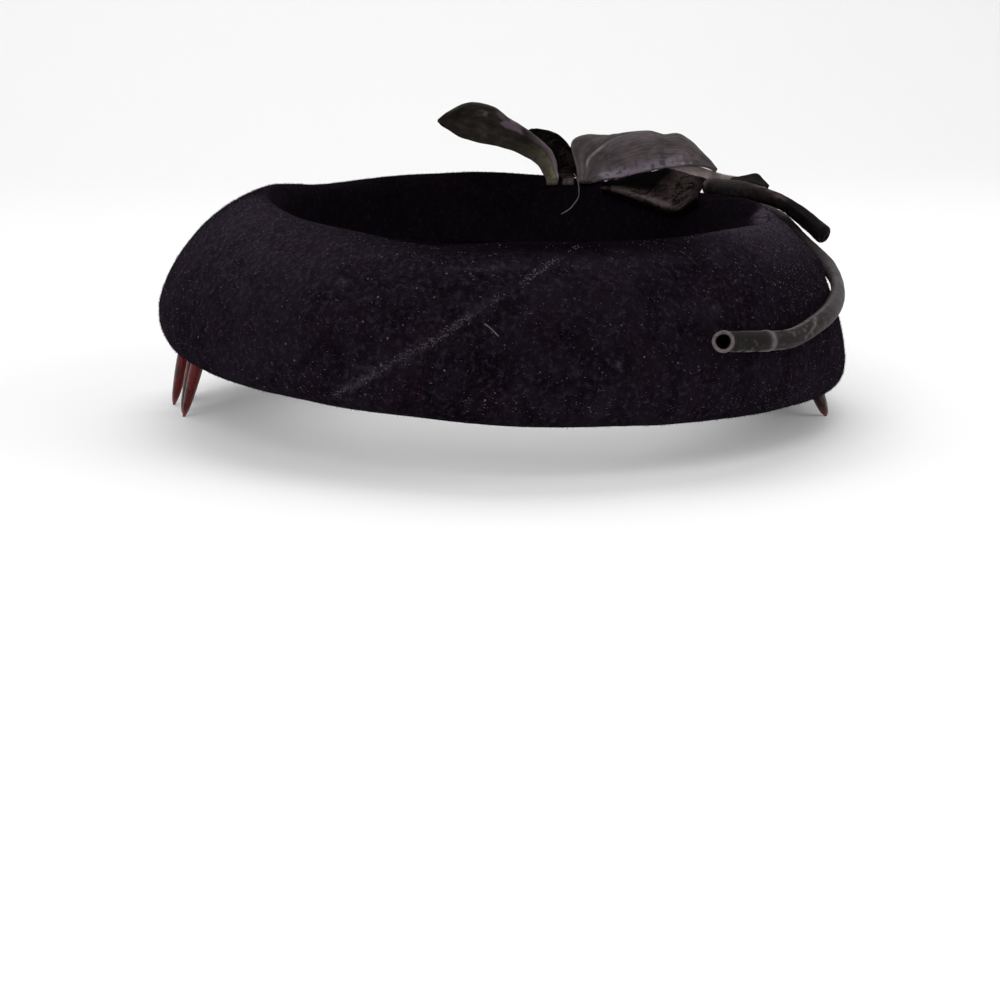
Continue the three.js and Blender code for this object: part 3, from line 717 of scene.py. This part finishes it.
def leaf_object(node, points, height, material, slot, thick=LEAF_THICK, **marks):
    """A leaf of that thickness for a node, whose relief is height over its smooth form."""
    points = points + grid_normals(points) * height[..., None]
    leaf = grid_object(node + "_skin", place(points))
    paint(leaf, **marks)
    finish_piece(leaf, material, node)
    solid = leaf.modifiers.new("thickness", "SOLIDIFY")
    solid.thickness = thick * MM
    solid.offset = 0
    fine = leaf.modifiers.new("rounding", "SUBSURF")
    fine.levels = fine.render_levels = 1


def add_leaf_left():
    """Olive suede, with a painted highlight on its lit base near the foot, and ragged patches of purple
    lacquer.
    """
    points, u, v = leaf_grid(LEAF_LEFT)
    edge = margins(v, 0.05)
    ribs = sum(vein(u, v, (a, 0.5), (a + 0.1, side), 0.016)
               for a in (0.36, 0.47, 0.58, 0.69, 0.8) for side in (0.08, 0.92))
    height = uneven(points, (0.32, 6, 2), (0.12, 1.8, 4)) - 0.2 * vein(u, v, (0, 0.5), (1, 0.5), 0.03)
    height = height - 0.1 * ribs + 0.35 * edge * lumps(points, 3.5, 9)
    ragged = 0.05 * lumps(points, 2, 71)
    lacquer = share(ellipse(u + ragged, v + 1.5 * ragged, (0.545, 0.13), (0.055, 0.13))
                    + 0.55 * ellipse(u + ragged, v, (0.7, 0.2), (0.03, 0.07))
                    + 0.5 * ellipse(u, v, (0.615, 0.05), (0.03, 0.05)))
    # Painted highlights: lit along the near margin by the foot, and on the olive base (olive, green) where it
    # catches the light; the edges add a little real wear.
    lit = bell(v, 0.06, 0.07) * band(u, (0.02, 0.12), (0.5, 0.34))
    green = ramp(0.45, 0.2, u) * ramp(0.1, 0.3, v)
    olive = bell(v, 0.3, 0.2) * band(u, (0.02, 0.1), (0.46, 0.3))
    worn = 0.7 * olive + 0.22 * green + 0.1 * edge * patches(points, 2.5, 7, -0.2, 0.4)
    holes = ellipse(u, v, (0.655, 0.2), (0.025, 0.05)) + ellipse(u, v, (0.6, 0.16), (0.02, 0.05))
    tip = 0.55 * ramp(0.6, 1, u) + 0.4 * ramp(0.12, 0, v) * ramp(0.6, 0.75, u)
    far = 0.5 * ramp(0.7, 0.95, v)
    dark = tip + far + 0.7 * holes + 0.45 * patches(points, 3, 11, 0.1, 0.4)
    leaf_object("leaf_left", points, height, OLIVE, "leather_olive", rubbed=worn * (1 - lacquer),
                stain=dark * (1 - lacquer), tint=0.85 * lacquer + 0.7 * lit, gloss=0.5 * lacquer)


def add_leaf_back():
    """Dark velvet, paler at its foot."""
    points, u, _ = leaf_grid(LEAF_BACK)
    height = uneven(points, (0.3, 5, 6), (0.12, 1.6, 3))
    foot = ramp(0.14, 0.02, u)
    leaf_object("leaf_back", points, height, VELVET_BROWN, "velvet_brown", rubbed=0.3 * foot,
                stain=0.85 * (1 - foot) * (0.7 + 0.3 * patches(points, 4, 8, 0, 0.3)))


def add_leaf_right():
    """Ribbed leather, with purple lacquer along its near margin, painted glints past that, and painted shade
    in its creases.
    """
    points, u, v = leaf_grid(LEAF_RIGHT, 128, 48)
    fan = 20 * v + 2.4 * u + 0.5 * lumps(points, 9, 1)
    ribs = np.sin(TURN * fan) * ramp(0.08, 0.25, u)
    broad = np.sin(TURN * (4.2 * v + 1.1 * u + 0.3 * lumps(points, 14, 2)))
    midrib = vein(u, v, (0.14, 0.58), (0.26, 0.5), 0.018) + 0.5 * vein(u, v, (0.26, 0.5), (0.5, 0.52), 0.016)
    height = 0.07 * ribs + 0.16 * broad + 0.3 * midrib + uneven(points, (0.3, 8, 12), (0.1, 2, 13))
    reach = 0.15 + 0.05 * np.sin(9 * u) + 0.1 * lumps(points, 4, 15)
    lacquer = ramp(reach + 0.05, reach - 0.05, v) * band(u, (0.08, 0.16), (0.82, 0.62))
    mauve = 0.16 * ellipse(u + 0.05 * lumps(points, 4, 16), v, (0.42, 0.4), (0.14, 0.12))
    flecks = patches(points, 1.5, 18, 0.18, 0.34) * lacquer
    # Painted glints: pale highlights along the near margin past the lacquer.
    painted_glints = patches(points, 1.2, 19, 0.3, 0.45) * bell(v, 0.06, 0.07) * band(u, (0.55, 0.66), (0.86, 0.76))
    worn = 0.8 * midrib + 0.15 * margins(v, 0.03) + 0.1 * ramp(0, 1, ribs) + painted_glints
    foot = ramp(0.3, 0.1, u + 0.08 * lumps(points, 3, 17)) * ramp(0.75, 0.3, v)
    # Painted shade in the troughs of the broad creases.
    creases = ramp(0, -0.8, broad) * (1 - lacquer)
    leaf_object("leaf_right", points, height, PURPLE, "leather_purple", rubbed=worn,
                stain=0.9 * flecks + 0.8 * foot + 0.3 * creases, tint=0.7 * lacquer * (1 - flecks) + mauve,
                gloss=0.7 * lacquer + painted_glints)


def add_leaf_pale():
    points, _, v = leaf_grid(LEAF_PALE, 72, 16)
    height = uneven(points, (0.12, 4, 26), (0.04, 1.2, 27))
    leaf_object("leaf_pale", points, height, PALE, "leather_pale", THIN_LEAF,
                rubbed=0.4 * ramp(0.3, 0.8, v), stain=0.12 * ramp(0.4, 0.0, v))


def add_leaf_velvet():
    """Brown velvet, with a painted highlight on its fold and painted shade around it."""
    points, u, v = leaf_grid(LEAF_VELVET)
    height = uneven(points, (0.35, 5, 21), (0.2, 2, 23))
    # Painted highlight along the fold line.
    fold = bell(v, 0.33, 0.014 + 0.03 * bell(u, 0.5, 0.12)) * band(u, (0.02, 0.2), (0.66, 0.58))
    # Painted shade: deep is the shadow under the right leaf's margin, and under darkens the lower front and
    # the far end, which lie in shade under the stem.
    deep = ramp(0.62, 0.42, u + 0.08 * lumps(points, 4, 24)) * ramp(0.38, 0.44, v)
    under = ramp(0.3, 0.2, v) + 0.7 * ramp(0.72, 0.95, u)
    leaf_object("leaf_velvet", points, height, VELVET_BROWN, "velvet_brown", THIN_LEAF,
                rubbed=0.45 * fold, stain=deep + under)


def add_stem_flap():
    points, _, v = leaf_grid(STEM_FLAP, 48, 20)
    leaf_object("stem_flap", points, uneven(points, (0.12, 2.5, 31)), DARK_GREY, "leather_grey", THIN_LEAF,
                rubbed=0.15 * margins(v, 0.1))


# Stems: hollow rolls of leather, given by heading, down, clear and how flat they are pressed
STEM_R = 2.4
STEM_WALL = 0.7
STEM_SPREAD = 0.4
STEM_SIDES = 40
STEM_LOOP = [
    (-68.9, 0.793, 4, 1), (-68, 0.79, 2.2, 1), (-66.5, 0.788, 0.8, 1), (-64.8, 0.788, 0.4, 1),
    (-60, 0.79, 0.45, 1), (-52.4, 0.785, 0.45, 1), (-43.7, 0.73, 0.45, 0.95), (-36, 0.68, 0.45, 0.85),
    (-27, 0.62, 0.4, 0.75), (-18, 0.568, 0.25, 0.78), (-10, 0.525, 0.1, 0.93), (-5, 0.48, 0.15, 0.86),
    (-1, 0.445, 0.45, 0.75), (2, 0.41, 0.45, 0.75), (5, 0.375, 0.45, 0.8), (10, 0.335, 0.45, 0.9),
    (17, 0.32, 0.45, 0.95), (25, 0.29, 0.45, 0.95),
]
STEM_SHORT = [
    (30, 0.12, 0.3, 1), (25, 0.12, 0.3, 1), (17, 0.11, 0.4, 1), (11, 0.13, 1, 0.85), (8, 0.19, 2.1, 0.75),
    (5.5, 0.27, 3.4, 0.72), (3, 0.35, 4.2, 0.8), (0.8, 0.41, 4.6, 0.9), (-1.6, 0.45, 4.9, 0.95),
]


def slope_point(heading, down):
    """The place on the smooth slope at a heading in degrees."""
    angle = radians(heading)
    r, z = slope_line(section_at(angle), down)
    return np.array([r * cos(angle), r * sin(angle), z])


def slope_normal(heading, down):
    step = 0.001
    at = slope_point(heading, down)
    along = slope_point(heading, down + step) - at
    around_ring = slope_point(heading + degrees(step), down) - at
    return unit(np.cross(along, around_ring))


def stem_grid(rows, stations, swell):
    """A closed tube wall along a stem: out along the outside and back along the inside."""
    off = np.array([slope_normal(h, d) for h, d, _, _ in rows])
    flat = np.array([row[3] for row in rows])
    middle = np.array([slope_point(h, d) + n * (c + STEM_R * f) for (h, d, c, f), n in zip(rows, off)])
    middle, off, flat = (smooth_through(a, stations) for a in (middle, off, flat))
    along = unit(np.gradient(middle, axis=0))
    side = unit(np.cross(along, off))
    up = np.cross(side, along)
    turn = np.arange(STEM_SIDES) / STEM_SIDES * TURN
    pressed = (STEM_R * (1 - flat))[:, None]
    u = np.linspace(0, 1, stations)[:, None]
    layers = []
    for radius in (STEM_R, STEM_R - STEM_WALL):
        swollen = radius + swell(u, turn[None])
        high = (swollen - pressed) * np.cos(turn)
        wide = (swollen + STEM_SPREAD * pressed) * np.sin(turn)
        layers.append(middle[:, None] + up[:, None] * high[..., None] - side[:, None] * wide[..., None])
    return np.concatenate([layers[0], layers[1][::-1]])


def stem_object(node, rows, stations, material, marks, swell, rough):
    """A stem with a rough outside. Swell and marks are functions of u along it and of the way round, in
    radians for swell and from 0 to 1 for marks."""
    points = stem_grid(rows, stations, swell)
    inward = unit(np.cross(np.gradient(points, axis=0), np.roll(points, -1, 1) - np.roll(points, 1, 1)))
    bumpy = uneven(points, (rough, 3, 41), (0.4 * rough, 1.1, 43))
    bumpy[stations:] = 0
    points = points - inward * bumpy[..., None]
    stem = grid_object(node + "_skin", place(points), closed=True)
    there = np.linspace(0, 1, stations)
    u = np.concatenate([there, there[::-1]])[:, None]
    inside = np.repeat([0.0, 1.0], stations)[:, None]
    turn = np.arange(STEM_SIDES)[None] / STEM_SIDES
    u, turn, inside = np.broadcast_arrays(u, turn, inside)
    paint(stem, **marks(u, turn, inside, points))
    finish_piece(stem, material, node)


def around(turn, where, wide):
    """1 along one side of a stem, fading over a width in turns."""
    return bell((turn - where + 0.5) % 1, 0.5, wide)


def add_stem_loop():
    """Its outer lap ends part of the way along, with a raised and worn edge."""
    lap = 0.25

    def swell(u, angle):
        sleeve = 0.15 * band(u, (0.1, 0.17), (lap + 0.006, lap - 0.004))
        return sleeve + 0.12 * bell(u, lap, 0.006) + 0.04 * np.sin(angle * 3) - 0.25 * ramp(0, 0.02, u)

    def marks(u, turn, inside, points):
        end = bell(u, 0, 0.012)
        hidden = inside * (1 - end)
        # Pale lines along both edges: partly wear, partly painted rim highlights.
        sides = (around(turn, 0.21, 0.03) + around(turn, 0.79, 0.03)) * band(u, (0.03, 0.06), (0.6, 0.5))
        sides = sides * patches(points, 1.6, 51, -0.45, 0)
        scuffs = bell(u, 0.2, 0.02) * around(turn, 0.9, 0.1) + 0.7 * bell(u, 0.31, 0.04)
        scuffs = scuffs * patches(points, 1.1, 52, 0.15, 0.4)
        crack = vein(u, turn, (0.326, 0.02), (0.34, 0.16), 0.004)
        # pale is painted light: the lit stretch of the loop round the ring's right side, paler and glossier.
        pale = band(u, (0.33, 0.42), (0.68, 0.56))
        worn = 0.9 * end + 0.9 * bell(u, lap, 0.005) + sides + 0.7 * scuffs + 0.8 * crack
        sleeve = ramp(0.25, 0.2, u) * (1 - end)
        # Painted shade: the inside of the tube (hidden) and its underside against the velvet (around 0.5).
        dark = 0.8 * bell(u, 0.226, 0.022) + 0.6 * sleeve + hidden + around(turn, 0.5, 0.14)
        return {"rubbed": worn * (1 - 0.8 * hidden), "stain": dark, "tint": 0.8 * pale * (1 - inside),
                "gloss": 0.25 * pale}

    stem_object("stem_loop", STEM_LOOP, 460, GREY, marks, swell, 0.08)


def add_stem_short():
    """Nearly closed at its dark far end, with fine creases before that."""
    def swell(u, angle):
        # One crease along it for each radian of the way round
        creases = 0.35 * bell(angle % 1, 0.5, 0.16) * bell(u, 0.75, 0.12)
        return 0.12 * np.sin(angle * 2 + 3 * u) - 1.35 * ramp(0.955, 1, u) ** 2 + creases

    def marks(u, turn, inside, points):
        end = bell(u, 0, 0.03)
        pink = bell(u, 0.46, 0.09) * around(turn, 0.9, 0.08) * patches(points, 1.4, 62, -0.3, 0.2)
        mauve = bell(u, 0.57, 0.045) * around(turn, 0.79, 0.07) * patches(points, 1.2, 63, -0.3, 0.2)
        lower = around(turn, 0.6, 0.06) * ramp(0.6, 0.3, u) * patches(points, 1.5, 64, -0.2, 0.3)
        brown = around(turn, 0.9, 0.12) * ramp(0.4, 0.2, u)
        worn = 0.7 * end + 0.2 * mauve + 0.2 * lower + 0.14 * brown
        # The inside of the tube is painted dark, as painted shade in its hollow; the far end and patches are
        # darker too.
        dark = ramp(0.55, 0.75, u) + 0.5 * patches(points, 3, 61, 0, 0.4) * (1 - pink) + inside
        return {"rubbed": worn * (1 - inside * (1 - end)), "stain": dark,
                "tint": (0.5 * pink + 0.35 * mauve) * (1 - inside)}

    stem_object("stem_short", STEM_SHORT, 180, DARK_GREY, marks, swell, 0.16)


# Fibres: strands with three sides, and a direction that hardly any of them runs along
STRAND_SIDES = 3
ASKEW = np.array([0.31, 0.17, 0.93])


def strands_object(name, paths, radii, material):
    """Thin strands, joined in one mesh."""
    rods = []
    for path, radius in zip(paths, radii):
        path = np.asarray(path)
        along = unit(np.gradient(path, axis=0))
        side = unit(np.cross(along, ASKEW))
        up = np.cross(side, along)
        rods.append(place(rod(zip(path, side * radius, up * radius), STRAND_SIDES)))
    finish_piece(rods_object(name, rods), material)


FIBRE_POINTS = 5
FIBRE_BEND = 1.6
FIBRE_CLEAR, FIBRE_LOOSE = 0.12, 0.15
DEGREES_PER_MM = 0.72
DOWN_PER_MM = 0.02


def fibre(velvet, rng, heading, down, length):
    """A short curved fibre lying on the velvet."""
    turn, bend = rng.uniform(0, TURN), rng.uniform(-FIBRE_BEND, FIBRE_BEND)
    path = []
    for k in range(FIBRE_POINTS):
        t = k / (FIBRE_POINTS - 1) - 0.5
        way = turn + bend * t
        path.append(velvet.on(heading + t * length * cos(way) * DEGREES_PER_MM,
                              down + t * length * sin(way) * DOWN_PER_MM,
                              FIBRE_CLEAR + rng.uniform(0, FIBRE_LOOSE)))
    return path


# Lint: how many fibres, and how their heading, down and length are drawn
EVEN, BUNCHED = random.Random.uniform, random.Random.gauss
PALE_LINT = [(3000, (EVEN, -180, 180), (EVEN, 0.05, 1.45), (EVEN, 0.08, 0.36)),
             (160, (EVEN, -130, -30), (EVEN, 0.1, 1.3), (EVEN, 0.3, 0.8))]
STRAW_LINT = [(220, (BUNCHED, -42, 8), (BUNCHED, 0.48, 0.12), (EVEN, 0.08, 0.4)),
              (200, (EVEN, -180, 180), (EVEN, 0.05, 1.4), (EVEN, 0.08, 0.3))]
LINT_SEED = 7
SEAM_FIBRES, SEAM_CLUMPS, CLUMP_SPREAD = 340, 22, 3.5
# One long fibre that lies across the front: heading, down and clear
LONG_FIBRE = [(-101, 0.72, 0.3), (-100.2, 0.74, 0.35), (-99, 0.78, 0.25)]


def scattered(velvet, rng, rows):
    return [fibre(velvet, rng, *(draw(rng, a, b) for draw, a, b in draws))
            for count, *draws in rows for _ in range(count)]


def along_seam(velvet, rng):
    """Fibres in clumps along the part of the seam that lies on the slope."""
    seam = [row for row in SEAM_LINE if row[1] > 0.1]
    clumps = [rng.randrange(len(seam)) for _ in range(SEAM_CLUMPS)]
    fibres = []
    for _ in range(SEAM_FIBRES):
        heading, down = seam[int(rng.choice(clumps) + rng.gauss(0, CLUMP_SPREAD)) % len(seam)]
        fibres.append(fibre(velvet, rng, heading + rng.gauss(0, 0.42), down + rng.gauss(0, 0.01),
                            rng.uniform(0.15, 0.6)))
    return fibres


def add_lint(velvet):
    rng = random.Random(LINT_SEED)
    pale = scattered(velvet, rng, PALE_LINT) + along_seam(velvet, rng)
    straw = scattered(velvet, rng, STRAW_LINT)
    strands_object("lint_pale", pale, [rng.uniform(0.025, 0.08) for _ in pale], LINT)
    strands_object("lint_straw", straw, [rng.uniform(0.02, 0.06) for _ in straw], STRAW)
    strands_object("lint_fibre", [smooth_through([velvet.on(*at) for at in LONG_FIBRE], 12)], [0.2], THREAD)


PILE_COUNT = 60000
PILE_SEED = 11
PILE_LEAN = 0.55
PILE_LONG = (0.25, 0.6)
PILE_HALF_WIDE = 0.035


def add_pile(velvet):
    """The velvet's short pile, one narrow triangle a hair, which softens its outline."""
    rng = np.random.default_rng(PILE_SEED)
    i = rng.integers(0, AROUND, PILE_COUNT)
    j = rng.integers(1, len(velvet.down) - 2, PILE_COUNT)
    s, t = rng.random((2, PILE_COUNT, 1))
    next_i = (i + 1) % AROUND

    def at(grid):
        return ((grid[i, j] * (1 - s) + grid[next_i, j] * s) * (1 - t)
                + (grid[i, j + 1] * (1 - s) + grid[next_i, j + 1] * s) * t)

    root, normal = at(velvet.skin), unit(at(velvet.normal))
    way = unit(normal + rng.normal(0, PILE_LEAN, (PILE_COUNT, 3)))
    length = rng.uniform(*PILE_LONG, (PILE_COUNT, 1))
    side = unit(np.cross(way, rng.normal(0, 1, (PILE_COUNT, 3)))) * PILE_HALF_WIDE
    points = np.stack([root - side, root + side, root + way * length], 1).reshape(-1, 3)
    faces = np.arange(3 * PILE_COUNT).reshape(-1, 3)
    finish_piece(mesh_object("velvet_pile", place(points).tolist(), faces.tolist()), PILE)


# The loose thread at the foot of the leaves
THREAD_R = 0.19
THREAD_PATH = [(26.2, 57, 45.2), (27, 56.2, 43.9), (27.6, 55.6, 42), (27.8, 55.4, 40), (27.6, 55.2, 38.6),
               (26.6, 55, 37), (25.2, 54.9, 35.3), (23, 54.8, 33.9)]


# Combs: the CAD solids' teeth again, with round sections; places are in the frame that the hat stands in
COMB_SIDES = 16
SPINE_STEPS, TOOTH_STEPS = 48, 16
SEAT = 0.4
SPINE_WIDE, SPINE_HIGH, SPINE_PAST = 2.6, 3.0, 2
# A tooth's thickness and width, and how its last sections close
TOOTH_ROOT, TOOTH_WAIST, TOOTH_TIP = (3.7, 3.0), (3.1, 2.6), (1.6, 1.5)
TIP_ROUNDING = (0.93, 0.75, 0.4)
STUB = 1.6
UP = np.array([0, 0, 1.0])
# Each tooth's root below the hem and its tip, or none where it is broken off
COMB_LEFT = [
    ((-75.8, -1), (-80.3, 0.1)), ((-76.9, 4.5), (-80.7, 6)), ((-79.2, 10), None), ((-79.5, 16), (-83.2, 16.6)),
    ((-78.4, 21.5), (-79.8, 22)), ((-77, 27), (-79, 27.3)),
]
COMB_RIGHT = [
    ((77.6, -20.8), (79.9, -21.3)), ((78.6, -16), None), ((79.4, -11.2), None), ((79.8, -6.4), None),
    ((80, -1.6), None), ((80, 3.2), None), ((79.7, 8), (81.6, 8.3)), ((79.2, 12.8), (81, 13.2)),
    ((78.4, 17.6), (80, 18.1)),
]


def under_hem(x, y):
    """The place just below the hem, in the frame that the hat stands in."""
    return np.array(HAT @ Vector((x, y, section_at(atan2(y, x))["hem_z"] - SEAT)))


def spine(roots, run, across):
    """The comb's back, which follows the hem and is rounded at both ends."""
    line = np.concatenate([roots[:1] - run[:1] * SPINE_PAST, roots, roots[-1:] + run[-1:] * SPINE_PAST])
    line = smooth_through(line, SPINE_STEPS)
    facing = smooth_through(np.concatenate([across[:1], across, across[-1:]]), SPINE_STEPS)
    from_end = np.minimum(np.arange(SPINE_STEPS), np.arange(SPINE_STEPS)[::-1])
    ease = np.maximum(share(from_end / 2) ** 0.5, 0.05)
    half = UP * SPINE_HIGH / 2
    sections = [(p - half, a * SPINE_WIDE / 2 * e, half * e) for p, a, e in zip(line, facing, ease)]
    return rod(sections, COMB_SIDES)


def tooth(root, tip, way, across):
    """A tooth from its root to its tip on the ground, or a stub where it is broken off."""
    top = root - UP * SPINE_HIGH / 2
    foot = top - UP * (SPINE_HIGH / 2 + STUB)
    if tip:
        foot = np.array([tip[0] - MIDDLE[0], tip[1] - MIDDLE[1], 0])
    sizes = smooth_through([TOOTH_ROOT, TOOTH_WAIST, TOOTH_TIP if tip else TOOTH_WAIST], TOOTH_STEPS)
    ease = np.ones(TOOTH_STEPS)
    ease[-len(TIP_ROUNDING):] = TIP_ROUNDING
    return rod([(top + (foot - top) * t, across * thick / 2 * e, way * wide / 2 * e)
                for t, (thick, wide), e in zip(np.linspace(0, 1, TOOTH_STEPS), sizes, ease)], COMB_SIDES)


def comb_object(node, teeth, material):
    roots = np.array([under_hem(*root) for root, _ in teeth])
    run = unit(np.gradient(roots, axis=0) * (1, 1, 0))
    across = np.stack([run[:, 1], -run[:, 0], 0 * run[:, 0]], 1)
    rods = [spine(roots, run, across)]
    rods += [tooth(root, tip, way, a) for (_, tip), root, way, a in zip(teeth, roots, run, across)]
    comb = rods_object(node + "_skin", [rings * MM for rings in rods])
    height = np.concatenate([rings[..., 2].ravel() for rings in rods])
    paint(comb, rubbed=0.45 * ramp(3, 0, height))
    finish_piece(comb, material, node)


# Stage, in metres: a floor that bends up into a low backdrop, and three soft lights
FLOOR_WIDE = 3.0
FLOOR_FRONT, FLOOR_BACK = -1.6, 1.4
FLOOR_BEND, BEND_STEPS = 0.6, 12
BACKDROP_HIGH = 2.2
# Name, place, size and power
LIGHTS = [("key", (-0.5, -1.1, 1.0), (1.0, 0.8), 8),
          ("fill", (1.1, -0.5, 0.6), (0.8, 0.8), 3),
          ("top", (0.1, 0.5, 1.3), (1.2, 0.8), 6)]
LIT_PLACE = Vector((0, 0, 0.03))
WORLD_STRENGTH = 0.62


def add_stage():
    flat_to = FLOOR_BACK - FLOOR_BEND
    turns = np.arange(1, BEND_STEPS + 1) / BEND_STEPS * QUARTER
    bend = [(flat_to + FLOOR_BEND * sin(t), FLOOR_BEND * (1 - cos(t))) for t in turns]
    profile = [(FLOOR_FRONT, 0), (flat_to, 0), *bend, (FLOOR_BACK, BACKDROP_HIGH)]
    sides = (-FLOOR_WIDE / 2, FLOOR_WIDE / 2)
    floor = grid_object("floor", np.array([[(x, y, z) for y, z in profile] for x in sides]))
    g = Graph("floor", Roughness=0.9, Specular_IOR_Level=0.1)
    floor.data.materials.append(g.done(Base_Color=rgb(247, 247, 247)))


def add_lights():
    for name, at, size, power in LIGHTS:
        data = bpy.data.lights.new(name, "AREA")
        data.shape = "RECTANGLE"
        data.size, data.size_y = size
        data.energy = power
        light = add_object(name, data)
        light.location = at
        light.rotation_mode = "QUATERNION"
        light.rotation_quaternion = (LIT_PLACE - Vector(at)).to_track_quat("-Z", "Y")
    world = bpy.data.worlds.new("world")
    world.use_nodes = True
    background = world.node_tree.nodes["Background"]
    background.inputs["Color"].default_value = (1, 1, 1, 1)
    background.inputs["Strength"].default_value = WORLD_STRENGTH
    bpy.context.scene.world = world
    bpy.context.scene.view_settings.view_transform = "Standard"


ring_surface = add_ring()
add_leaf_left()
add_leaf_back()
add_leaf_right()
add_leaf_pale()
add_leaf_velvet()
add_stem_flap()
add_stem_loop()
add_stem_short()
add_pile(ring_surface)
add_lint(ring_surface)
strands_object("loose_thread", [smooth_through(THREAD_PATH, 40)], [THREAD_R], THREAD)
comb_object("comb_left", COMB_LEFT, RED)
comb_object("comb_right", COMB_RIGHT, BROWN)
add_stage()
add_lights()
